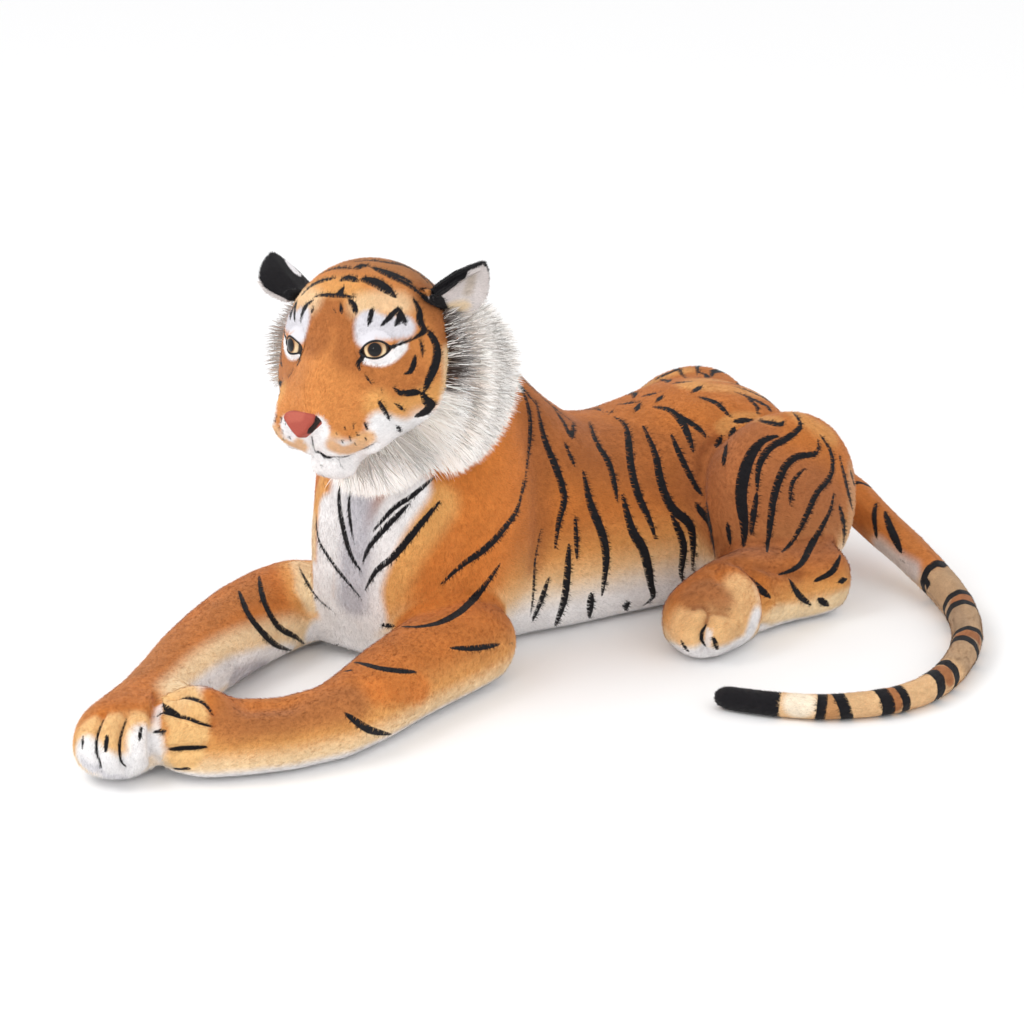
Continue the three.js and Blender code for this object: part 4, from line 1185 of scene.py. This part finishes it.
def eye_finish():
    """Amber iris with a dark edge and a round pupil under a clear gloss."""
    finish = Finish("amber eye", roughness=0.07, specular_ior_level=0.3)
    away = finish.attribute("from_pupil")
    grain = finish.noise(0.8 * MM, 2.0)
    upper = finish.attribute("eye_height")
    amber = finish.mixed(finish.ramp(upper, -5.0, 7.0), (0.86, 0.66, 0.4), (0.38, 0.18, 0.07))
    amber = finish.mixed(finish.ramp(grain, 0.3, 0.7, 0.0, 0.35), amber, (0.9, 0.7, 0.42))
    ringed = finish.mixed(finish.ramp(away, IRIS - 1.6, IRIS), amber, (0.05, 0.03, 0.02))
    warm = finish.mixed(finish.ramp(away, PUPIL + 2.2, PUPIL), ringed, (0.22, 0.09, 0.03))
    pupil = finish.ramp(away, PUPIL + 0.3, PUPIL - 0.3)
    finish.feed("Base Color", finish.mixed(pupil, warm, (0.004, 0.004, 0.005)))
    return finish.material


def lid_finish():
    """The head's own tints, with a dark edge round the opening."""
    finish = Finish("eyelid plush", roughness=0.8)
    away = finish.attribute("from_opening") + (finish.noise(1.2 * MM, 2.0) - 0.5) * 0.9
    stripe = finish.ramp(finish.attribute("stripe"), 0.6, -0.6)
    around = finish.mixed(stripe, finish.attribute("tint", "Color"), INK)
    finish.feed("Base Color", finish.mixed(finish.ramp(away, 1.9, 3.1), INK, around))
    finish.bumped(finish.noise(1.3 * MM, 3.0), 0.3 * MM)
    return finish.material


def number_on(piece, name, values):
    attribute = piece.data.attributes.new(name, "FLOAT", "POINT")
    attribute.data.foreach_set("value", np.asarray(values, np.float32))


def glossy_eye(side, finish):
    """A ball cut off at its rim, which is drawn back into the head."""
    middle, across, up, out = eye_frame(side)
    centre = Vector(middle - out * (DOME_BALL - DOME_HEIGHT))
    facing = Vector(out).to_track_quat("Z", "Y").to_euler()
    bpy.ops.object.select_all(action="DESELECT")
    bpy.ops.mesh.primitive_uv_sphere_add(
        segments=48, ring_count=40, radius=DOME_BALL, location=centre, rotation=facing
    )
    eye = bpy.context.view_layer.objects.active
    eye.name = eye.data.name = "eye_dome_" + side
    bpy.ops.object.transform_apply(location=True, rotation=True, scale=True)
    bpy.ops.object.mode_set(mode="EDIT")
    bpy.ops.mesh.select_all(action="SELECT")
    bpy.ops.mesh.bisect(plane_co=middle, plane_no=out, use_fill=True, clear_inner=True)
    bpy.ops.mesh.extrude_region_move(TRANSFORM_OT_translate={"value": Vector(-out) * EYE_BACK})
    bpy.ops.transform.resize(value=(0.9, 0.9, 0.9), center_override=Vector(middle - out * EYE_BACK))
    bpy.ops.mesh.select_all(action="SELECT")
    bpy.ops.mesh.normals_make_consistent(inside=False)
    bpy.ops.object.mode_set(mode="OBJECT")
    bpy.ops.object.shade_smooth_by_angle(angle=math.radians(40))
    spots = points_of(eye) - middle
    number_on(eye, "from_pupil", np.hypot(spots @ across, spots @ up) / MM)
    number_on(eye, "eye_height", spots @ up / MM)
    eye.data.materials.append(finish)
    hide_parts("eye_" + side)
    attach(eye, "head")


OPENING = [
    (-17, -3.5), (-11, 3.5), (-4, 7.6), (3, 8.6), (9, 7),
    (16, 1.5), (11, -4.5), (4, -8), (-4, -8.6), (-11, -7.4),
]
LID_LEAST = 4 * MM
LID_REACH = 23 * MM
LID_SHARES = np.array((0.0, 0.0, 0.07, 0.16, 0.3, 0.46, 0.64, 0.82, 1.0))
LID_LIFTS = np.array((-0.8, 0.5, 1.5, 1.8, 1.7, 1.3, 0.8, 0.2, -0.8))


def washer_finish():
    """Plain moulded plastic, a little mottled."""
    finish = Finish("washer plastic", roughness=0.5)
    cloud = finish.noise(6 * MM, 2.0)
    finish.feed("Base Color", finish.mixed(cloud, (0.78, 0.78, 0.76), (0.86, 0.86, 0.84)))
    return finish.material


def eyelid(side, finish, head):
    """Both lids in one ring over the dome, which runs out into the head's own coat."""
    middle, across, up, out = eye_frame(side)
    outline = np.array(evenly([*OPENING, OPENING[0]], 0.6))[:-1] * MM
    outline = outline[np.argsort(np.arctan2(outline[:, 1], outline[:, 0]))]
    radius = np.linalg.norm(outline, axis=1)
    facing = outline / radius[:, None]
    outer = np.maximum(radius + LID_LEAST, LID_REACH)
    rows, away = [], []
    for share, lift in zip(LID_SHARES, LID_LIFTS):
        reach = radius + (outer - radius) * share
        height = np.where(reach < EYE_RADIUS, dome_height(np.minimum(reach, EYE_RADIUS)), 0)
        spots = middle + facing[:, :1] * reach[:, None] * across + facing[:, 1:] * reach[:, None] * up
        spots = spots + (height + lift * MM)[:, None] * out
        settle = smooth_step(0.35, 1.0, share)
        snug = head.snapped(spots) - out * 0.6 * MM * settle
        rows.append(spots + (snug - spots) * settle)
        away.append((reach - radius) / MM)
    count = len(outline)
    points, faces = np.vstack(rows), []
    for row in range(len(rows) - 1):
        for i in range(count):
            a, b = row * count + i, row * count + (i + 1) % count
            faces.append((a, b, b + count, a + count))
    mesh = bpy.data.meshes.new("eyelid_" + side)
    mesh.from_pydata(points.tolist(), [], faces)
    lid = bpy.data.objects.new("eyelid_" + side, mesh)
    bpy.context.scene.collection.objects.link(lid)
    mesh.shade_smooth()
    number_on(lid, "from_opening", np.concatenate(away))
    skin = KDTree(head.skin)
    for index, spot in enumerate(head.points[: head.skin]):
        skin.insert(spot, index)
    skin.balance()
    nearest = [skin.find(spot)[1] for spot in points]
    paint(lid, head.tint[nearest], head.stripe[nearest])
    lid.data.materials.append(finish)
    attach(lid, "head")


# Nose

NOSE_OF_SOLID = (310, 425)
NOSE_SEEN = (302, 425)
NOSE_TURN = -9
NOSE_WIDER = 0.16
NOSE_FLATTER = 0.8
NOSE_DROP = 3 * MM
NOSE_PINK = (0.39, 0.072, 0.048)
NOSTRIL = [(311, 430), (317, 420)]
NOSE_TONES = [
    ((0.02, 0.01, 0.01), 3.6, 1.8, 1, ONE_SIDE, [(311, 432), (315, 426), (319, 418)]),
    ((0.52, 0.13, 0.085), 3, 6, 0.6, ONE_SIDE, [(290, 417), (300, 416)]),
]


def velour_nose(head):
    """The nose, a little to the toy's right of its solid."""
    nose = stuffed_skin("nose_velour", ["nose"], voxel=0.9 * MM, rounds=8, swell=0.5 * MM)
    points = points_of(nose)
    middle = points.mean(0)
    here, there = (np.array(head.laid([pixel])[0][0]) for pixel in (NOSE_OF_SOLID, NOSE_SEEN))
    points -= middle
    points += NOSE_WIDER * (points @ head_across)[:, None] * head_across
    points[:, 2] *= NOSE_FLATTER
    turn = Matrix.Rotation(math.radians(NOSE_TURN), 3, "Z")
    move_points(nose, points @ np.array(turn).T + middle + there - here - (0, 0, NOSE_DROP))
    coat = Coat(nose, NOSE_PINK)
    coat.tones(NOSE_TONES)
    coat.done([(5, 4, ONE_SIDE, NOSTRIL)])
    velour = Finish("velour", roughness=0.7, sheen_weight=0.1, sheen_roughness=0.4, specular_ior_level=0.3)
    tint = velour.attribute("tint", "Color")
    nap = velour.ramp(velour.noise(0.9 * MM, 3.0), 0.2, 0.8, 0.85, 1.12)
    velour.feed("Base Color", velour.mixed(1.0, tint, velour.grey(nap), "MULTIPLY"))
    velour.bumped(velour.noise(0.7 * MM, 2.0), 0.2 * MM)
    dress(nose, velour.material, body="head", nodes=["nose"])


# Ears

EAR_TURNS = {"left": 0, "right": -24}
EAR_LINING = (0.76, 0.7, 0.68)
LEFT_EAR_TONES = [
    ((0.55, 0.46, 0.37), 2, 8, 0.7, ONE_SIDE, [(471, 278), (467, 292)]),
    (CREAM, 3, 10, 0.8, ONE_SIDE, [(447, 308), (462, 306)]),
    (FACE_ORANGE, 5, 3, 1, ONE_SIDE, [(421, 292), (427, 297)]),
]
LEFT_EAR_EDGE = [
    (9, 0.1, ONE_SIDE, [(434, 298), (440, 307)]),
    (13, 0.1, ONE_SIDE, [(443, 292), (450, 280)]),
    (12, 0.1, ONE_SIDE, [(452, 277), (461, 268)]),
    (9, 0.5, ONE_SIDE, [(462, 267), (478, 260)]),
]
LEFT_EAR_CREASES = [(9, 9, ONE_SIDE, [(421, 293), (426, 296)])]
RIGHT_EAR_TONES = [
    ((0.9, 0.88, 0.9), 5.5, 2, 1, ONE_SIDE, [(290, 264), (294, 269), (298, 273)]),
]


def ear_coat(side):
    """An ear of black pile with a pale lining, turned about its own root."""
    nodes = ["ear_back_" + side, "ear_lining_" + side]
    skin = stuffed_skin(
        "coat_ear_" + side, nodes, voxel=1.3 * MM, rounds=30, swell=-0.2 * MM, early=1.4 * MM
    )
    back, lining = (near_nodes(points_of(skin), [node]) for node in nodes)
    root = joint_place(f"ear_{side}_fold")
    points = points_of(skin)
    growth = Vector(points.mean(0) - root).normalized()
    turn = Matrix.Rotation(math.radians(EAR_TURNS[side]), 3, growth)
    move_points(skin, (points - root) @ np.array(turn).T + root)
    coat = Coat(skin, INK, fibres=either(9000))
    lining, back = coat.spread(lining), coat.spread(back)
    coat.wash(EAR_LINING, smooth_step(-1.6 * MM, 1.2 * MM, back - lining))
    if side == "left":
        coat.tones(LEFT_EAR_TONES)
        coat.lines(LEFT_EAR_EDGE)
        coat.done(LEFT_EAR_CREASES)
    else:
        coat.tones(RIGHT_EAR_TONES)
        coat.done()
    body = "ear_" + side
    dress(skin, pile_finish("ear plush " + side, 0.4), body=body, nodes=nodes)
    flow = coat.points - root
    brushed(coat, flow, body, length=4 * MM, lift=1.3 * MM, width=0.8 * MM)


# Tail

TAIL_ROOT_STRIPES = [
    (2.0, [(876.8, 502), (873.9, 515.6), (876.8, 539.3)]),
    (3.2, [(884.7, 511.2), (890, 527.4), (901.5, 552.8)]),
    (1.6, [(900, 559.5), (905.9, 563)]),
    (2.4, [(938, 566), (946, 566), (954, 569)]),
    (2.6, [(922, 576), (928, 584), (927, 590)]),
]
TAIL_BANDS = [
    (4.0, [(935.7, 552.4), (930.2, 567), (919.7, 578.5)]),
    (4.2, [(946, 605), (954.9, 593.7), (968.4, 588.7)]),
    (4.8, [(950, 607.5), (963.8, 601.6), (977, 605.7)]),
    (4.0, [(953.3, 636.2), (965.8, 627.9), (980.6, 627.5)]),
    (5.4, [(955.9, 638.2), (966.8, 636.6), (977, 650.4)]),
    (5.4, [(931.2, 664.3), (947, 661.5), (955.9, 674.7)]),
    (6.0, [(925.3, 669.8), (938.1, 672.8), (938.1, 688.6)]),
    (6.0, [(872.9, 691.1), (885.7, 696.5), (884.1, 709.3)]),
    (4.2, [(891.7, 686.8), (903.5, 691.5), (905.9, 705)]),
    (4.2, [(819.5, 695.9), (824, 703.4), (815.5, 717.2)]),
    (5.2, [(832.7, 697.1), (842.6, 702.4), (846.2, 715.3)]),
]
TAIL_CURVE_TONES = [
    ((0.47, 0.3, 0.17), 24, 20, 0.9, ONE_SIDE, [(935, 572), (958, 600), (970, 630), (962, 650)]),
    (ORANGE, 20, 22, 0.95, ONE_SIDE, [(870, 500), (900, 525), (925, 552)]),
]
TAIL_TONES = [
    ((0.62, 0.56, 0.54), 7, 16, 0.85, ONE_SIDE, [(880, 548), (897, 562), (912, 572)]),
    # Painted shade: a darker brown patch on the tail's curl
    ((0.36, 0.24, 0.15), 6, 10, 0.5, ONE_SIDE, [(952, 612), (962, 624)]),
    ((0.88, 0.76, 0.6), 14, 10, 1, ONE_SIDE, [(800, 703)]),
    (RUST_AND_SHADE, 8, 6, 0.85, ONE_SIDE, [(958, 600), (964, 597), (972, 598)]),
    (RUST_AND_SHADE, 7, 6, 0.85, ONE_SIDE, [(962, 634), (970, 633), (978, 638)]),
    (RUST_AND_SHADE, 7, 6, 0.85, ONE_SIDE, [(938, 668), (945, 670), (950, 679)]),
    (RUST_AND_SHADE, 7, 6, 0.85, ONE_SIDE, [(890, 691), (895, 697), (896, 706)]),
    ((0.5, 0.24, 0.09), 7, 6, 0.9, ONE_SIDE, [(828, 699), (832, 707), (832, 715)]),
]
TAIL_BASE = (0.74, 0.47, 0.24)
TAIL_CURL_MIDDLE = (355 * MM, 95 * MM, 0)
# Bands near the root, which the haunch hides
HIDDEN_BANDS = [(30, 312, 92), (52, 318, 86), (80, 318, 78)]
HIDDEN_HALF = 3.2


def tail_coat():
    """The tail, orange at its root and paler along its curl, with bands that go right round."""
    nodes = ["tail_cover", "tail_stuffing", "tail_tip"]
    skin = stuffed_skin("coat_tail", nodes, voxel=either(2.6) * MM, rounds=14, swell=0.3 * MM)
    coat = Coat(skin, TAIL_BASE, fibres=either(26000))
    coat.tones(TAIL_CURVE_TONES)
    from_root = np.linalg.norm(coat.points - joint_place("tail_swing"), axis=1)
    coat.wash(ORANGE, 1 - smooth_step(120 * MM, 190 * MM, from_root))
    coat.tones(TAIL_TONES)
    coat.marks(TAIL_ROOT_STRIPES, grow=1.6, add=0.4)
    for half, pixels in TAIL_BANDS:
        banded(coat, half * 1.3 + 0.4, pixels)
    for place in HIDDEN_BANDS:
        near = np.linalg.norm(coat.points - np.array(place) * MM, axis=1) < 60 * MM
        along = unit(np.array((0.9, 0.4 - place[0] / 120, -0.15)))
        off = np.abs((coat.points[near] - np.array(place) * MM) @ along) - HIDDEN_HALF * MM
        coat.stripe[near] = np.minimum(coat.stripe[near], off)
    tip, cover = coat.near(["tail_tip"]), coat.near(["tail_cover"])
    coat.stripe = np.minimum(coat.stripe, (tip - cover) * 0.7)
    coat.done()
    dress(skin, pile_finish("tail plush", 0.4), body="tail", nodes=nodes)
    curl = np.cross(coat.points - np.array(TAIL_CURL_MIDDLE), (0, 0, 1))
    brushed(coat, curl, "tail", length=4.5 * MM, lift=1.4 * MM, width=0.9 * MM)


def banded(coat, half, pixels):
    """A dark band that goes right round the tail where the drawn arc lies."""
    run = np.vstack(coat.laid(pixels))
    middle, chord = run[len(run) // 2], unit(run[-1] - run[0])
    near = np.linalg.norm(coat.points - middle, axis=1) < 52 * MM
    spots = coat.points[near] - coat.points[near].mean(0)
    along = np.linalg.svd(spots[:: max(1, len(spots) // 400)], full_matrices=False)[2][0]
    along = unit(along - 0.55 * (along @ chord) * chord)
    off = np.abs((coat.points[near] - middle) @ along) - half * MM
    coat.stripe[near] = np.minimum(coat.stripe[near], off)


# Ruff

RUFF_NODES = ["ruff_left", "ruff_right", "ruff_chin"]
RUFF_WHITE = (1.0, 0.96, 0.93)
RUFF_ROOT = (1.0, 0.92, 0.86)
RUFF_DARK = (0.06, 0.03, 0.02)
CHEEK_RIM = [(446, 318), (450, 345), (450.5, 364), (448, 387)]
JAW_RIM = [(444, 402), (437, 413), (424, 424), (409, 432), (394, 440)]
RUFF_STEPS = np.array((0.0, 0.22, 0.45, 0.72, 1.0))
HAIR_WIDTHS = np.array((1.5, 1.5, 1.2, 0.8)) * MM
HAIR_REACH = (14 * MM, 52 * MM)
HAIRY_RIM = 13 * MM
TUFT_HALF = 7 * MM
# Dark roots beside the cheeks, gold under the jaw and white at the throat
RUFF_TONES = [
    (RUFF_DARK, 9, 9, 0.97, ONE_SIDE, [(444, 312), (449, 335), (450, 364), (448, 380)]),
    (RUFF_DARK, 13, 12, 0.97, ONE_SIDE, [(458, 316), (466, 340), (468, 364), (462, 380)]),
    (RUFF_DARK, 4, 8, 0.4, FAR_CHEEK, [(444, 325), (449, 345), (450, 364), (448, 375)]),
    ((0.6, 0.3, 0.14), 3, 10, 0.8, ONE_SIDE, [(404, 448), (412, 458)]),
    (RUFF_WHITE, 10, 16, 0.7, BOTH_CHEEKS, [(450, 410), (436, 430), (415, 446)]),
    ((0.92, 0.9, 0.9), 16, 14, 0.8, ONE_SIDE, [(340, 478), (370, 475), (400, 465)]),
]


def ruff_mass(head):
    """The thick of the long pile, its outer hair, and the fringe on the head's own edge."""
    rim = np.flatnonzero(near_nodes(head.points[: head.skin], RUFF_NODES) < HAIRY_RIM)
    cheeks = head.laid(CHEEK_RIM, HEAD) + head.laid(CHEEK_RIM + JAW_RIM)
    tuft = np.flatnonzero(head.gap(cheeks, TUFT_HALF)[: head.skin] < 0)
    for node in RUFF_NODES:
        place = node.removeprefix("ruff_")
        mass = stuffed_skin("ruff_mass_" + place, [node], voxel=3 * MM, rounds=16, swell=-8 * MM)
        coat = Coat(mass, RUFF_ROOT, fibres=either(5500))
        coat.tones(RUFF_TONES)
        coat.done()
        backing = pile_finish("ruff backing " + place, 0.8)
        dress(mass, backing, body="head", nodes=[node])
        roots = slice(coat.skin, None)
        long_hair("ruff_hair_" + place, coat.points[roots], coat.normals[roots], coat.tint[roots])
    chance = np.random.default_rng(3)
    picked = chance.choice(rim, min(len(rim), either(3500)), replace=False)
    fringe = chance.choice(tuft, min(len(tuft), either(3200)), replace=False)
    picked = np.concatenate([picked, fringe])
    edge = Coat(head.piece, RUFF_ROOT)
    edge.tones(RUFF_TONES)
    long_hair("ruff_hair_edge", head.points[picked], head.normals[picked], edge.tint[picked])


def room_around(middle, turn):
    """How far the ruff's solids reach out from the head's middle, at each turn round the face."""
    rim = np.vstack([points_of(solids[node]) for node in RUFF_NODES]) - middle
    rim -= (rim @ head_ahead)[:, None] * head_ahead
    rim_turn = np.arctan2(rim[:, 2], rim @ head_across)
    reach = np.linalg.norm(rim, axis=1)
    slots = np.linspace(-math.pi, math.pi, 49)
    outer = []
    for slot in slots:
        off = (rim_turn - slot + math.pi) % (2 * math.pi) - math.pi
        outer.append(reach[np.abs(off) < 0.14].max(initial=0))
    return np.interp(turn, slots, outer)


def long_hair(name, roots, normals, tints):
    """Long soft hair that stands out round the cheeks and falls at its tips."""
    chance = np.random.default_rng(9)
    count = len(roots)
    middle = np.array(middle_of("head_cover"))
    away = roots - middle
    away -= (away @ head_ahead)[:, None] * head_ahead
    outward = unit(away)
    turn = np.arctan2(outward[:, 2], outward @ head_across)
    room = room_around(middle, turn) - np.linalg.norm(away, axis=1)
    to_right = -outward @ head_across
    length = np.clip(room * 1.15, *HAIR_REACH) + chance.uniform(2, 13, count) * MM
    length += 5 * MM * smooth_step(0.75, 0.95, to_right)
    below = smooth_step(-20 * MM, -80 * MM, roots[:, 2] - head_middle[2])
    length *= 1 - 0.5 * below * smooth_step(0.3, 0.6, to_right)
    noise = chance.normal(0, 0.16, roots.shape)
    right = smooth_step(0.4, 0.8, to_right)[:, None]
    start = unit(outward + (0.55 * right - 0.15) * head_ahead + 0.25 * normals + noise)
    noise = chance.normal(0, 0.18, roots.shape)
    fall = (0.3 * right - 0.45) * head_ahead + np.array((0, 0, -0.3)) + noise
    rows = [roots - normals * 2 * MM]
    for before, after in zip(RUFF_STEPS, RUFF_STEPS[1:]):
        course = unit(start + fall * after)
        rows.append(rows[-1] + course * (length * (after - before))[:, None])
    facing = normals + outward * 0.3
    across = unit(np.cross(facing, start) + chance.normal(0, 0.15, roots.shape))
    colours = np.stack(hair_tints(chance, count, tints))
    hair = strands(name, np.stack(rows), across, HAIR_WIDTHS, colours, unit(facing))
    hair.data.materials.append(hair_finish())
    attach(hair, "head")


def hair_tints(chance, count, tints):
    """Tints from root to tip: dark roots run out to dark or to pale tips, and a few hairs are grey."""
    shade = chance.uniform(0.9, 1.1, (count, 1))
    tints = np.where(chance.random((count, 1)) < 0.3, np.array(RUFF_ROOT), tints)
    pale = np.array(RUFF_WHITE) * shade
    streak = (chance.random(count) < 0.04)[:, None]
    tip = np.where(streak, pale * 0.6, pale)
    dark = tints * shade
    darkness = 1 - tints[:, 1:2] / RUFF_ROOT[1]
    tip = tip * (1 - darkness * np.where(chance.random((count, 1)) < 0.6, 0.8, 0.1))
    return [dark, dark, dark + (tip - dark) * 0.2, dark + (tip - dark) * 0.7, tip]


def hair_finish():
    """One finish for all the long hair, which glows faintly in its own tints: painted light that stands in
    for the light passing through the hair.
    """
    made = bpy.data.materials.get("ruff hair")
    if made is None:
        finish = Finish("ruff hair", roughness=0.7, specular_ior_level=0.2, emission_strength=0.16)
        finish.feed("Base Color", finish.attribute("tint", "Color"))
        # Painted light: the hair glows faintly in its own tint
        finish.feed("Emission Color", finish.attribute("tint", "Color"))
        made = finish.material
    return made


# The whole toy

lit_floor()
body_coat()
head = head_coat()
amber, felt, plastic = eye_finish(), lid_finish(), washer_finish()
for side in SIDES:
    glossy_eye(side, amber)
    eyelid(side, felt, head)
velour_nose(head)
for side in SIDES:
    ear_coat(side)
tail_coat()
ruff_mass(head)
for side in SIDES:
    washer = solids["eye_washer_" + side]
    washer.data.materials.clear()
    washer.data.materials.append(plastic)
